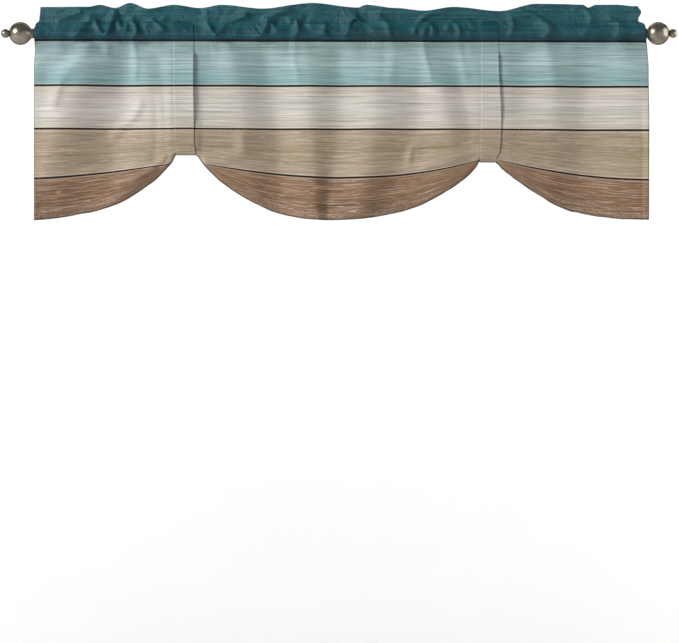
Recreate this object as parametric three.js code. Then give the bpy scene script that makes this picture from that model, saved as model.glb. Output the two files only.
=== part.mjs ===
// Tie-up valance on a curtain rod, as it hangs.
// Millimetres, +Z up, the printed face towards -Y, +X to the viewer's right.
// The origin lies on the rod's axis, at the middle of the rod.
//
// One panel of cloth has a frilled heading and a rod pocket along its top. Two straps are
// caught in the heading's stitch line at front and back. Each passes under the cloth and
// lifts it, so the lower edge hangs in a half swag, a full swag and a half swag, and the
// cloth to spare turns under and stands up behind the face.

import * as THREE from 'three';

// Cloth and the space left between pieces that touch
const CLOTH_THICKNESS = 1.5;
const STRAP_THICKNESS = 1.8;
const TOUCH_GAP = 0.3;
const STRAP_GAP = 0.45;

// Rod and finials, lengths along X from the middle of the rod
const ROD_RADIUS = 9.5;
const ROD_SIDES = 32;
const FINIAL_SIDES = 24;
const BALL_RADIUS = 23.7;
const BALL_CENTRE = 681.6;
const NECK_RADIUS = 10.7;
const NECK_REACH = 31.5;
const LINK_RADIUS = 5.6;
const KNOB_RADIUS = 9.2;
const KNOB_OFFSET = 31.8;

// Heights of the panel's parts
const HEADING_SEAM_Z = 25;
const POCKET_SEAM_Z = -16;
const POCKET_TURNING_Z = -22;
const POCKET_RADIUS = 11.1;
const POCKET_END_FLARE = 2.4;
const POCKET_END_LENGTH = 28;
const LAYER_OFFSET = 1.15;

// Small puckers drawn up along the rod: depth, length over 2 pi, and shift from front to back
const POCKET_PUCKERS = [
  { depth: 1.1, length: 8.3, shift: 1.7 },
  { depth: 0.7, length: 13.1, shift: 0.6 },
];
const FRILL_RUFFLE = { depth: 1.3, length: 11.3 };
const PUCKER_STRAP_MARGIN = 6;
const PUCKER_FADE = 22;

// Panel outline: the face's side edges, and the drop of its lower edge
const FACE_LEFT = -650.5;
const FACE_RIGHT = 660;
const EDGE_FADE = 45;
const HEM_LOW_Z = -398;

// Where the side edges lie at each height
const SIDE_EDGES = [
  { z: 58, left: -639, right: 637 },
  { z: 46, left: -639.5, right: 644.5 },
  { z: 27, left: -641.5, right: 636.5 },
  { z: 20, left: -649, right: 652 },
  { z: 0, left: -654.5, right: 655.5 },
  { z: -14, left: -651, right: 654 },
  { z: -35, left: -648.5, right: 657 },
  { z: -70, left: -651.5, right: 659.5 },
  { z: -200, left: -650.5, right: 661 },
  { z: -400, left: -649.5, right: 660 },
];

// Heading frill: height of its top edge, and how far that edge leans towards the viewer
const HEADING = [
  { x: -640, top: 56.5, lean: -3 },
  { x: -537, top: 56.6, lean: 4 },
  { x: -512, top: 61, lean: 0 },
  { x: -480, top: 54.5, lean: -6 },
  { x: -447, top: 65, lean: 1 },
  { x: -409, top: 52.5, lean: 7 },
  { x: -354, top: 61, lean: 0 },
  { x: -298, top: 54.5, lean: -6 },
  { x: -251, top: 61, lean: 1 },
  { x: -165, top: 52.5, lean: 7 },
  { x: -59, top: 65, lean: -1 },
  { x: 38, top: 55.5, lean: -6 },
  { x: 57, top: 61, lean: 0 },
  { x: 118, top: 54, lean: 5 },
  { x: 180, top: 48, lean: 9 },
  { x: 245, top: 56.5, lean: 0 },
  { x: 342, top: 48, lean: -8 },
  { x: 420, top: 63, lean: 1 },
  { x: 471, top: 62.5, lean: 4 },
  { x: 520, top: 61, lean: 0 },
  { x: 531, top: 55, lean: -4 },
  { x: 547, top: 61, lean: 0 },
  { x: 590, top: 61, lean: 5 },
  { x: 633, top: 58, lean: 2 },
];

// Folds of the face from left to right: crests and hollows in turn, level across the
// straps. Each row has the fold's place and how far it stands out, at three heights.
const FOLD_HEIGHTS = { top: -25, mid: -157, hem: -356 };
const FOLD_START = 34;
const FOLDS = [
  { xTop: -650, xMid: -650, xHem: -650, outTop: -1, outMid: -6, outHem: -5 },
  { xTop: -522, xMid: -580, xHem: -597, outTop: 6, outMid: 11, outHem: 10 },
  { xTop: -486, xMid: -495, xHem: -512, outTop: -2, outMid: -7, outHem: -8 },
  { xTop: -437, xMid: -416, xHem: -426, outTop: 6, outMid: 8, outHem: 6 },
  { xTop: -388, xMid: -384, xHem: -380, outTop: 0, outMid: 1, outHem: 3 },
  { xTop: -358, xMid: -358, xHem: -356, outTop: 4, outMid: 6, outHem: 12 },
  { xTop: -304, xMid: -302, xHem: -300, outTop: 4, outMid: 6, outHem: 12 },
  { xTop: -286, xMid: -284, xHem: -279, outTop: -3, outMid: -5, outHem: -3 },
  { xTop: -251, xMid: -221, xHem: -217, outTop: 6, outMid: 10, outHem: 9 },
  { xTop: -174, xMid: -144, xHem: -148, outTop: -3, outMid: -8, outHem: -9 },
  { xTop: -84, xMid: -67, xHem: -59, outTop: 5, outMid: 10, outHem: 10 },
  { xTop: -10, xMid: 5, xHem: 12, outTop: -3, outMid: -7, outHem: -8 },
  { xTop: 48, xMid: 80, xHem: 82, outTop: 5, outMid: 10, outHem: 9 },
  { xTop: 140, xMid: 157, xHem: 140, outTop: -3, outMid: -7, outHem: -6 },
  { xTop: 198, xMid: 217, xHem: 210, outTop: 5, outMid: 9, outHem: 7 },
  { xTop: 253, xMid: 262, xHem: 257, outTop: -1, outMid: -1, outHem: 2 },
  { xTop: 298, xMid: 298, xHem: 296, outTop: 4, outMid: 6, outHem: 12 },
  { xTop: 349, xMid: 349, xHem: 341, outTop: 4, outMid: 6, outHem: 12 },
  { xTop: 373, xMid: 375, xHem: 368, outTop: -3, outMid: -5, outHem: -3 },
  { xTop: 439, xMid: 454, xHem: 445, outTop: 5, outMid: 9, outHem: 8 },
  { xTop: 514, xMid: 531, xHem: 524, outTop: -3, outMid: -8, outHem: -7 },
  { xTop: 616, xMid: 638, xHem: 625, outTop: 4, outMid: 7, outHem: 8 },
  { xTop: 659, xMid: 659, xHem: 659, outTop: 1, outMid: 3, outHem: 3 },
];

// Each half swag runs from its low point up to a strap; a positive bow is a flatter curve
const HALF_SWAGS = [
  { lowX: -649.5, strapX: -352, strapZ: -256.7, bow: 0.12 },
  { lowX: -10, strapX: -302, strapZ: -256.7, bow: 0 },
  { lowX: -10, strapX: 298, strapZ: -269.1, bow: 0 },
  { lowX: 660, strapX: 339.5, strapZ: -269.1, bow: -0.18 },
];
const SWAG_ROUND_SHARE = 0.74;
const SWAG_END_POWER = 6;

// Straps: side edges from the heading down, and at the bottom of the loop
const STRAPS = [
  { name: 'tie_strap_left', topLeft: -355.6, topRight: -310, lowLeft: -349.5, lowRight: -304.5 },
  { name: 'tie_strap_right', topLeft: 302.2, topRight: 347, lowLeft: 300, lowRight: 337.5 },
];
const STRAP_NARROWS_Z = -215;
const STRAP_NARROWS_OVER = 35;
const STRAP_STAND_OFF = 3;
const STAND_OFF_TOP_Z = -34;
const STAND_OFF_FADE = { top: 30, bottom: 60 };

// Cloth turned under at the lower edge
const ROLL_LENGTH = { swag: 18, strap: 40 };
const TAIL_LENGTH = 8;
const TAIL_LEAN = 0.13;
const LEAST_TURN = 0.02;
const STRAP_SLACK = 30;
const BULGE_DEPTH = 9;
const BULGE_HEIGHT = 68;

// Ease from 0 to 1 with level ends
function ease(t) {
  const s = Math.min(Math.max(t, 0), 1);
  return s * s * (3 - 2 * s);
}

function mix(a, b, t) {
  return a + (b - a) * t;
}

// Value of a table's column at a place, eased between its rows
function follow(rows, placeOf, valueOf, place) {
  const after = rows.findIndex((row) => placeOf(row) > place);
  if (after === 0) return valueOf(rows[0]);
  if (after < 0) return valueOf(rows[rows.length - 1]);
  const a = rows[after - 1];
  const b = rows[after];
  const t = (place - placeOf(a)) / (placeOf(b) - placeOf(a));
  return mix(valueOf(a), valueOf(b), ease(t));
}

// Parabola through a value at each of the three fold heights
function overHeights(top, mid, hem, z) {
  const { top: a, mid: b, hem: c } = FOLD_HEIGHTS;
  return (top * (z - b) * (z - c)) / ((a - b) * (a - c))
    + (mid * (z - a) * (z - c)) / ((b - a) * (b - c))
    + (hem * (z - a) * (z - b)) / ((c - a) * (c - b));
}

// The half swag that x lies in, and how near x is to its strap: 0 at the low point, 1 at the strap
function swagAt(x) {
  const across = HALF_SWAGS.find(({ lowX, strapX }) => (x - lowX) * (x - strapX) <= 0);
  const distance = (swag) => Math.min(Math.abs(x - swag.strapX), Math.abs(x - swag.lowX));
  const swag = across ?? HALF_SWAGS.reduce((a, b) => (distance(a) <= distance(b) ? a : b));
  const share = (x - swag.lowX) / (swag.strapX - swag.lowX);
  return { ...swag, share: Math.min(Math.max(share, 0), 1) };
}

// Part of the swag's rise reached at x
function riseShare(x) {
  const { share, bow } = swagAt(x);
  const curve = SWAG_ROUND_SHARE * share ** 2 + (1 - SWAG_ROUND_SHARE) * share ** SWAG_END_POWER;
  return Math.max(curve + bow * share * (1 - share) ** 2, 0);
}

// Height of the lowest line of the cloth
function lowLine(x) {
  return mix(HEM_LOW_Z, swagAt(x).strapZ, riseShare(x));
}

// Side edges follow their table and the shift dies out within EDGE_FADE of the edge
function shiftToEdge(x, z) {
  const rows = [...SIDE_EDGES].reverse();
  const left = follow(rows, (row) => row.z, (row) => row.left, z) - FACE_LEFT;
  const right = follow(rows, (row) => row.z, (row) => row.right, z) - FACE_RIGHT;
  const nearLeft = ease(1 - (x - FACE_LEFT) / EDGE_FADE);
  const nearRight = ease(1 - (FACE_RIGHT - x) / EDGE_FADE);
  return x + left * nearLeft + right * nearRight;
}

// 1 across a strap and 0 away from it
function underStrap(x) {
  return Math.max(...STRAPS.map(({ topLeft, topRight, lowRight }) => {
    const left = topLeft - PUCKER_STRAP_MARGIN;
    const right = Math.max(topRight, lowRight) + PUCKER_STRAP_MARGIN;
    return ease(1 - Math.max(left - x, x - right, 0) / PUCKER_FADE);
  }));
}

// Depth of the face: its folds, and the forward bulge that the straps push out of it
function faceY(x, z) {
  const out = follow(
    FOLDS,
    (fold) => overHeights(fold.xTop, fold.xMid, fold.xHem, z),
    (fold) => overHeights(fold.outTop, fold.outMid, fold.outHem, z),
    x,
  );
  const belowPocket = ease((POCKET_SEAM_Z - z) / FOLD_START);
  const { share, strapZ } = swagAt(x);
  const inBulge = Math.min(Math.max((z - strapZ) / BULGE_HEIGHT, 0), 1);
  const bulge = BULGE_DEPTH * share ** 4 * Math.sin(Math.PI * inBulge) ** 2;
  return -LAYER_OFFSET - out * belowPocket - bulge;
}

// Puckers of the pocket, only away from the rod; side is -1 at the front, 1 at the back
function pocketPucker(x, side) {
  const puckers = POCKET_PUCKERS.map(
    ({ depth, length, shift }) => depth * (1 + Math.sin(x / length + side * shift)),
  );
  const atEnd = Math.max(
    ease(1 - (x - FACE_LEFT) / POCKET_END_LENGTH),
    ease(1 - (FACE_RIGHT - x) / POCKET_END_LENGTH),
  );
  const free = (1 - underStrap(x)) * (1 - atEnd);
  return (puckers[0] + puckers[1]) * free + POCKET_END_FLARE * atEnd;
}

// Pocket layer on one side of the rod, from seam to seam: straight, round the rod, straight
function pocketLayer(x, side) {
  const radius = POCKET_RADIUS + pocketPucker(x, side);
  const up = Math.acos(Math.min(radius / HEADING_SEAM_Z, 1));
  const down = Math.PI - Math.acos(Math.min(radius / -POCKET_SEAM_Z, 1));
  return [0, 0.5, 1].map((t) => {
    const angle = mix(up, down, t);
    return { y: side * radius * Math.sin(angle), z: radius * Math.cos(angle) };
  });
}

// Heading frill, from its stitch line up to its top fold and down again
function headingY(x, share) {
  const lean = follow(HEADING, (row) => row.x, (row) => row.lean, x);
  const ruffle = FRILL_RUFFLE.depth * Math.sin(x / FRILL_RUFFLE.length) * (1 - underStrap(x));
  return -(lean + ruffle) * share ** 1.5;
}

function headingLayer(x, side, shares) {
  const top = follow(HEADING, (row) => row.x, (row) => row.top, x) - LAYER_OFFSET;
  return shares.map((share) => ({
    y: headingY(x, share) + side * LAYER_OFFSET,
    z: mix(HEADING_SEAM_Z, top, share),
  }));
}

// Turning angle whose roll and tail take up the cloth to spare
function turnAngle(spare, roll) {
  const taken = (angle) => (angle < Math.PI / 2
    ? roll * (1 - Math.sin(angle) / angle) + TAIL_LENGTH * (1 - Math.cos(angle))
    : roll * (1 - 1 / angle) + TAIL_LENGTH);
  let low = LEAST_TURN;
  let high = Math.PI;
  for (let step = 0; step < 30; step += 1) {
    const middle = (low + high) / 2;
    if (taken(middle) < spare) low = middle;
    else high = middle;
  }
  return { angle: high, over: Math.max(spare - taken(Math.PI), 0) };
}

// The lower edge at x: where the face starts to turn, the roll under it, and the tail behind
function lowerEdge(x) {
  const near = riseShare(x);
  const roll = mix(ROLL_LENGTH.swag, ROLL_LENGTH.strap, near);
  const spare = Math.max(lowLine(x) - HEM_LOW_Z - STRAP_SLACK * near ** 1.5, 0);
  const { angle, over } = turnAngle(spare, roll);
  const radius = roll / angle;
  const tail = TAIL_LENGTH + over;
  const drop = angle < Math.PI / 2
    ? radius * Math.sin(angle) + tail * Math.cos(angle)
    : radius;
  const turnZ = lowLine(x) + drop;
  return { angle, radius, tail, turnZ, turnY: faceY(x, turnZ) };
}

function rollPoint({ angle, radius, turnY, turnZ }, share) {
  return {
    y: turnY + radius * (1 - Math.cos(angle * share)),
    z: turnZ - radius * Math.sin(angle * share),
  };
}

// The tail runs straight on from the roll and, once it points up, follows the folds in front
function tailPoint(x, edge, share) {
  const end = rollPoint(edge, 1);
  const length = edge.tail * share;
  const z = end.z - length * Math.cos(edge.angle);
  const upright = ease((edge.angle - Math.PI / 2) / (Math.PI / 2));
  const withFace = faceY(x, z) - edge.turnY - TAIL_LEAN * length;
  return { y: end.y + length * Math.sin(edge.angle) + upright * withFace, z };
}

// Steps along the cloth, as shares of each stretch
const HEADING_STEPS = [0, 0.5, 1];
const FACE_STEPS = [0.04, 0.12, 0.22, 0.34, 0.47, 0.6, 0.72, 0.83, 0.92];
const ROLL_STEPS = [0, 0.2, 0.4, 0.6, 0.8, 1];
const TAIL_STEPS = [0.34, 0.67, 1];
const BACK_RISE_STEPS = [0.12, 0.4, 0.7];

// Steps along the width
const WIDEST_COLUMNS = 21;
const CLOSEST_COLUMNS = 9;
const END_STEP = 20;

// Line of the cloth at x from the pocket's front down the face, round the roll and up the tail
function hangingLine(x) {
  const edge = lowerEdge(x);
  const faceStep = (share) => {
    const z = mix(POCKET_SEAM_Z, edge.turnZ, share);
    return { y: faceY(x, z), z };
  };
  return [
    ...pocketLayer(x, -1),
    { y: -LAYER_OFFSET, z: POCKET_SEAM_Z },
    ...FACE_STEPS.map(faceStep),
    ...ROLL_STEPS.map((share) => rollPoint(edge, share)),
    ...TAIL_STEPS.map((share) => tailPoint(x, edge, share)),
  ];
}

// Back of the pocket at x, from its turned edge up to the heading's stitch line
function pocketBack(x) {
  return [
    { y: LAYER_OFFSET, z: POCKET_TURNING_Z },
    { y: LAYER_OFFSET, z: POCKET_SEAM_Z },
    ...pocketLayer(x, 1).reverse(),
  ];
}

// Section of the panel at x, from the back of the pocket over the heading to the hem
function panelSection(x) {
  const top = follow(HEADING, (row) => row.x, (row) => row.top, x);
  return [
    ...pocketBack(x),
    ...headingLayer(x, 1, HEADING_STEPS),
    { y: headingY(x, 1), z: top },
    ...headingLayer(x, -1, [...HEADING_STEPS].reverse()),
    ...hangingLine(x),
  ];
}

// Places along the width: every fold, frill and strap edge, and steps between them
function panelColumns() {
  const key = [
    FACE_LEFT, FACE_LEFT + END_STEP, FACE_RIGHT - END_STEP, FACE_RIGHT,
    ...HALF_SWAGS.map(({ strapX }) => strapX),
    ...STRAPS.map(({ topLeft, topRight }) => (topLeft + topRight) / 2),
    ...FOLDS.slice(1, -1).map(({ xMid }) => xMid),
    ...HEADING.slice(1, -1).map(({ x }) => x),
  ];
  const kept = [];
  for (const x of key) {
    if (kept.every((other) => Math.abs(other - x) > CLOSEST_COLUMNS)) kept.push(x);
  }
  kept.sort((a, b) => a - b);
  return kept.slice(1).reduce((columns, x) => {
    const from = columns[columns.length - 1];
    const count = Math.ceil((x - from) / WIDEST_COLUMNS);
    const steps = Array.from({ length: count }, (_, i) => mix(from, x, (i + 1) / count));
    return [...columns, ...steps];
  }, [kept[0]]);
}

// Closed sheet on a grid of middle points [row][column], of one thickness. The outer side
// lies along (row direction) x (column direction). From flipRow on, the squares are split
// the other way, so that two layers which face each other stay parallel.
function sheetGeometry(grid, thickness, flipRow = 0) {
  const rows = grid.length;
  const columns = grid[0].length;
  const positions = [];
  for (const side of [0.5, -0.5]) {
    for (let r = 0; r < rows; r += 1) {
      for (let c = 0; c < columns; c += 1) {
        const along = new THREE.Vector3().subVectors(
          grid[Math.min(r + 1, rows - 1)][c],
          grid[Math.max(r - 1, 0)][c],
        );
        const across = new THREE.Vector3().subVectors(
          grid[r][Math.min(c + 1, columns - 1)],
          grid[r][Math.max(c - 1, 0)],
        );
        const normal = along.cross(across).normalize();
        positions.push(...grid[r][c].clone().addScaledVector(normal, side * thickness));
      }
    }
  }
  const outer = (r, c) => r * columns + c;
  const inner = (r, c) => rows * columns + outer(r, c);
  const faces = [];
  const quad = (a, b, c, d) => faces.push(a, b, c, a, c, d);
  for (let r = 0; r + 1 < rows; r += 1) {
    for (let c = 0; c + 1 < columns; c += 1) {
      const ring = [[r, c], [r + 1, c], [r + 1, c + 1], [r, c + 1]];
      const turned = r < flipRow ? [...ring.slice(1), ring[0]] : ring;
      quad(...turned.map(([i, j]) => outer(i, j)));
      quad(...[turned[0], turned[3], turned[2], turned[1]].map(([i, j]) => inner(i, j)));
    }
    const end = columns - 1;
    quad(outer(r + 1, 0), outer(r, 0), inner(r, 0), inner(r + 1, 0));
    quad(outer(r, end), outer(r + 1, end), inner(r + 1, end), inner(r, end));
  }
  for (let c = 0; c + 1 < columns; c += 1) {
    const end = rows - 1;
    quad(outer(0, c), outer(0, c + 1), inner(0, c + 1), inner(0, c));
    quad(outer(end, c + 1), outer(end, c), inner(end, c), inner(end, c + 1));
  }
  const geometry = new THREE.BufferGeometry();
  geometry.setAttribute('position', new THREE.Float32BufferAttribute(positions, 3));
  geometry.setIndex(faces);
  geometry.computeVertexNormals();
  return geometry;
}

function panelGeometry() {
  const columns = panelColumns();
  const sections = columns.map(panelSection);
  const grid = sections[0].map((_, row) => columns.map((x, column) => {
    const { y, z } = sections[column][row];
    return new THREE.Vector3(shiftToEdge(x, z), y, z);
  }));
  const topFoldRow = pocketBack(0).length + HEADING_STEPS.length;
  return sheetGeometry(grid, CLOTH_THICKNESS, topFoldRow);
}

// Points pushed out sideways from their own line, in the plane of the section
function pushOut(line, distance) {
  return line.map(({ y, z }, i) => {
    const before = line[Math.max(i - 1, 0)];
    const after = line[Math.min(i + 1, line.length - 1)];
    const length = Math.hypot(after.y - before.y, after.z - before.z);
    return {
      y: y + ((after.z - before.z) / length) * distance,
      z: z - ((after.y - before.y) / length) * distance,
    };
  });
}

// Line that a strap lies on: the front and the roll, then past the tail and up the back
function strapPath(x) {
  const front = [{ y: -LAYER_OFFSET, z: HEADING_SEAM_Z }, ...hangingLine(x)];
  const tailEnd = front[front.length - 1];
  const rise = BACK_RISE_STEPS.map((share) => ({
    y: mix(tailEnd.y, LAYER_OFFSET, share),
    z: mix(tailEnd.z, POCKET_TURNING_Z, share),
  }));
  return {
    path: [...front, ...rise, ...pocketBack(x), { y: LAYER_OFFSET, z: HEADING_SEAM_Z }],
    faceRows: front.length - ROLL_STEPS.length - TAIL_STEPS.length,
  };
}

// How far a strap stands off the face, nothing at its left side and most at its right
function standOff(share, z) {
  const below = ease((STAND_OFF_TOP_Z - z) / STAND_OFF_FADE.top);
  const above = ease((z - STRAP_NARROWS_Z) / STAND_OFF_FADE.bottom);
  return STRAP_STAND_OFF * share ** 2 * below * above;
}

function strapGeometry({ topLeft, topRight, lowLeft, lowRight }) {
  const { path, faceRows } = strapPath((lowLeft + lowRight) / 2);
  const seat = (CLOTH_THICKNESS + STRAP_THICKNESS) / 2 + STRAP_GAP;
  const grid = pushOut(path, seat).map(({ y, z }, row) => [0, 0.5, 1].map((share) => {
    const onFace = row < faceRows;
    const narrow = onFace ? ease((STRAP_NARROWS_Z - z) / STRAP_NARROWS_OVER + 0.5) : 1;
    const left = mix(topLeft, lowLeft, narrow);
    const right = mix(topRight, lowRight, narrow);
    const lift = onFace ? standOff(share, z) : 0;
    return new THREE.Vector3(mix(left, right, share), y - lift, z);
  }));
  return sheetGeometry(grid, STRAP_THICKNESS);
}

// Revolves a profile of (distance along X, radius) about the rod's axis
function turnedGeometry(profile, sides) {
  const points = profile.map(([along, radius]) => new THREE.Vector2(radius, along));
  const geometry = new THREE.LatheGeometry(points, sides);
  geometry.rotateZ(-Math.PI / 2);
  return geometry;
}

function rodGeometry(from, to) {
  return turnedGeometry([[from, 0], [from, ROD_RADIUS], [to, ROD_RADIUS], [to, 0]], ROD_SIDES);
}

// Points on an arc of a turned profile, with angles in degrees from the -X side
function arc(centre, radius, from, to, steps) {
  return Array.from({ length: steps + 1 }, (_, i) => {
    const angle = THREE.MathUtils.degToRad(mix(from, to, i / steps));
    return [centre - radius * Math.cos(angle), radius * Math.sin(angle)];
  });
}

// Finial along +X about its ball's centre: neck, ball, link and end knob
function finialGeometry() {
  const neckAngle = THREE.MathUtils.radToDeg(Math.asin(NECK_RADIUS / BALL_RADIUS));
  const linkAngle = THREE.MathUtils.radToDeg(Math.asin(LINK_RADIUS / BALL_RADIUS));
  const knobAngle = THREE.MathUtils.radToDeg(Math.asin(LINK_RADIUS / KNOB_RADIUS));
  return turnedGeometry([
    [-NECK_REACH, 0],
    [-NECK_REACH, NECK_RADIUS],
    ...arc(0, BALL_RADIUS, neckAngle, 180 - linkAngle, 10),
    ...arc(KNOB_OFFSET, KNOB_RADIUS, knobAngle, 165, 6),
    [KNOB_OFFSET + KNOB_RADIUS, 0],
  ], FINIAL_SIDES);
}

function mesh(name, geometry, material) {
  const piece = new THREE.Mesh(geometry, material);
  piece.name = name;
  return piece;
}

const printedCloth = new THREE.MeshStandardMaterial({ color: 0xb9b2a4, roughness: 0.85, metalness: 0 });
const strapCloth = new THREE.MeshStandardMaterial({ color: 0x8fa6a6, roughness: 0.85, metalness: 0 });
const satinNickel = new THREE.MeshStandardMaterial({ color: 0xa49b8c, roughness: 0.3, metalness: 1 });

const valance = new THREE.Group();
valance.add(mesh('valance_panel', panelGeometry(), printedCloth));
for (const strap of STRAPS) {
  valance.add(mesh(strap.name, strapGeometry(strap), strapCloth));
}

const rodEnd = BALL_CENTRE - NECK_REACH - TOUCH_GAP;
valance.add(mesh('rod', rodGeometry(-rodEnd, rodEnd), satinNickel));

const finialRight = mesh('finial_right', finialGeometry(), satinNickel);
finialRight.position.x = BALL_CENTRE;
valance.add(finialRight);

const finialLeft = mesh('finial_left', finialGeometry(), satinNickel);
finialLeft.position.x = -BALL_CENTRE;
finialLeft.rotation.z = Math.PI;
valance.add(finialLeft);

export default valance;
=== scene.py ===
"""Dressed model of a tie-up valance on a curtain rod.

One panel of printed cloth has a frilled heading and a rod pocket. Two straps pass under it
and lift its lower edge into a half swag, a full swag and a half swag. The rod has a turned
metal finial at each end. Lengths in the classes are millimetres, turned into metres when a
mesh is made. The origin lies on the rod's axis at its middle, and the print faces -Y.
"""

import logging
import math
from collections.abc import Sequence
from dataclasses import dataclass
from enum import Enum

import bpy
import numpy as np
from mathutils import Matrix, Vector


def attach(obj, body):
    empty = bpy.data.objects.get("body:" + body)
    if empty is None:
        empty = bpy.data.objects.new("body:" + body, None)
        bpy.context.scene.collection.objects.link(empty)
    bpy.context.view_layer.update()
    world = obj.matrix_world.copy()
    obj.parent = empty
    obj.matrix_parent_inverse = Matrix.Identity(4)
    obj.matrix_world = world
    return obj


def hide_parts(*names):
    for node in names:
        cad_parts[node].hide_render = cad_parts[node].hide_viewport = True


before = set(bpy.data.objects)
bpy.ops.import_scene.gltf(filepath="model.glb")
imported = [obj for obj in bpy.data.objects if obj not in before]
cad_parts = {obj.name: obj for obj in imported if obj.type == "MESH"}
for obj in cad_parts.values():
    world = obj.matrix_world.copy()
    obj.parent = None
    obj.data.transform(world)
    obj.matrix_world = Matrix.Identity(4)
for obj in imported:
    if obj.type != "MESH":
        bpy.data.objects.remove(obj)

LOG = logging.getLogger("valance")

METRE = 0.001
ROOT = "root"

# Stands for a distance that is never near: a metre, in millimetres.
FAR = 1000.0
# Share of a mark's half width over which it is full.
MARK_CORE = 0.6

Array = np.ndarray
Colour = tuple[float, float, float]
Pair = tuple[float, float]
Triple = tuple[float, float, float]
Material = bpy.types.Material
Piece = bpy.types.Object
Socket = bpy.types.NodeSocket


# Numbers and curves --------------------------------------------------------------------


def eased(share: Array) -> Array:
    """Smooth step s*s*(3 - 2*s) of a share that is first kept between 0 and 1."""
    kept = np.clip(share, 0.0, 1.0)
    return kept * kept * (3.0 - 2.0 * kept)


def mix(start: Array, end: Array, share: Array) -> Array:
    """Straight blend: start + (end - start) * share."""
    return start + (end - start) * share


def even(count: int) -> Array:
    """Even shares from 0 to 1, both ends included."""
    return np.linspace(0.0, 1.0, count)


def follow(places: Sequence[Array], values: Sequence[Array], at: Array) -> Array:
    """Curve through a table, eased between its rows.

    The first value plus one eased step for each next row, which rises between the two
    rows' places.

    Args:
        places: Rising places, each a number or an array that fits `at`.
        values: The value at each place.
        at: Where the curve is read.

    Returns:
        The curve's values.
    """
    total = values[0] + np.zeros_like(at)
    for row in range(len(places) - 1):
        share = (at - places[row]) / (places[row + 1] - places[row])
        total = total + (values[row + 1] - values[row]) * eased(share)
    return total


def read(table: Sequence[Sequence[float]], at: Array) -> list[Array]:
    """Curves through a table's other columns, over its first one.

    Args:
        table: Rows of a rising place and the values there.
        at: Where the curves are read.

    Returns:
        One curve for each column of values.
    """
    places, *columns = zip(*table)
    return [follow(places, column, at) for column in columns]


def srgb(red: int, green: int, blue: int) -> Colour:
    """Linear colour of a screen colour given as whole numbers up to 255.

    Args:
        red: Red part.
        green: Green part.
        blue: Blue part.

    Returns:
        The linear colour.
    """
    def linear(part: int) -> float:
        """Linear value of one part, by the sRGB curve."""
        share = part / 255.0
        return share / 12.92 if share <= 0.04045 else ((share + 0.055) / 1.055) ** 2.4

    return linear(red), linear(green), linear(blue)


# Shaders -------------------------------------------------------------------------------


@dataclass(frozen=True)
class Layer:
    """One noise of a material.

    Attributes:
        along: Features to the metre along its first coordinate.
        across: Features to the metre along its second coordinate.
        seed: Any number, different for each layer.
        detail: How many finer layers it has.
        weight: How much it counts.
        step: Values between which it rises from 0 to 1, where it is read as marks.
    """

    along: float
    across: float
    seed: float
    detail: float = 2.0
    weight: float = 1.0
    step: Pair = (0.0, 1.0)


class Signal:
    """One number that varies over a surface, which takes part in Python arithmetic."""

    def __init__(self, recipe: "Recipe", socket: Socket) -> None:
        """Keep the recipe that holds the nodes, and the output socket."""
        self.recipe = recipe
        self.socket = socket

    def maths(self, operation: str, *values: "Signal | float", clamp: bool = False) -> "Signal":
        """Add a Math node.

        Args:
            operation: Name of the Math node's operation.
            values: Its inputs in order.
            clamp: Whether the result is kept between 0 and 1.

        Returns:
            The node's result.
        """
        inputs = dict(enumerate(values))
        settings = {"operation": operation, "use_clamp": clamp}
        return self.recipe.signal("ShaderNodeMath", settings, inputs)

    def __add__(self, other: "Signal | float") -> "Signal":
        """Sum."""
        return self.maths("ADD", self, other)

    __radd__ = __add__

    def __sub__(self, other: "Signal | float") -> "Signal":
        """Difference."""
        return self.maths("SUBTRACT", self, other)

    def __rsub__(self, other: "Signal | float") -> "Signal":
        """Difference from a number."""
        return self.maths("SUBTRACT", other, self)

    def __mul__(self, other: "Signal | float") -> "Signal":
        """Product."""
        return self.maths("MULTIPLY", self, other)

    __rmul__ = __mul__

    def __truediv__(self, other: "Signal | float") -> "Signal":
        """Quotient."""
        return self.maths("DIVIDE", self, other)

    def sine(self) -> "Signal":
        """Sine of an angle in radians."""
        return self.maths("SINE", self)

    def size(self) -> "Signal":
        """Absolute value."""
        return self.maths("ABSOLUTE", self)

    def most(self, other: "Signal | float") -> "Signal":
        """Larger of two."""
        return self.maths("MAXIMUM", self, other)

    def kept(self) -> "Signal":
        """Value kept between 0 and 1."""
        return self.maths("ADD", self, 0.0, clamp=True)

    def rise(self, low: float, high: float) -> "Signal":
        """Smooth step.

        Args:
            low: Value that gives 0.
            high: Value that gives 1, which may be the smaller of the two.

        Returns:
            The step's value.
        """
        settings = {"interpolation_type": "SMOOTHSTEP"}
        inputs = {"Value": self, "From Min": low, "From Max": high, "To Min": 0.0, "To Max": 1.0}
        return self.recipe.signal("ShaderNodeMapRange", settings, inputs, "Result")

    def near(self, place: float, width: float) -> "Signal":
        """1 at a place, falling to 0 at a width away on either side."""
        return (self - place).size().rise(width, width * MARK_CORE)


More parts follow.
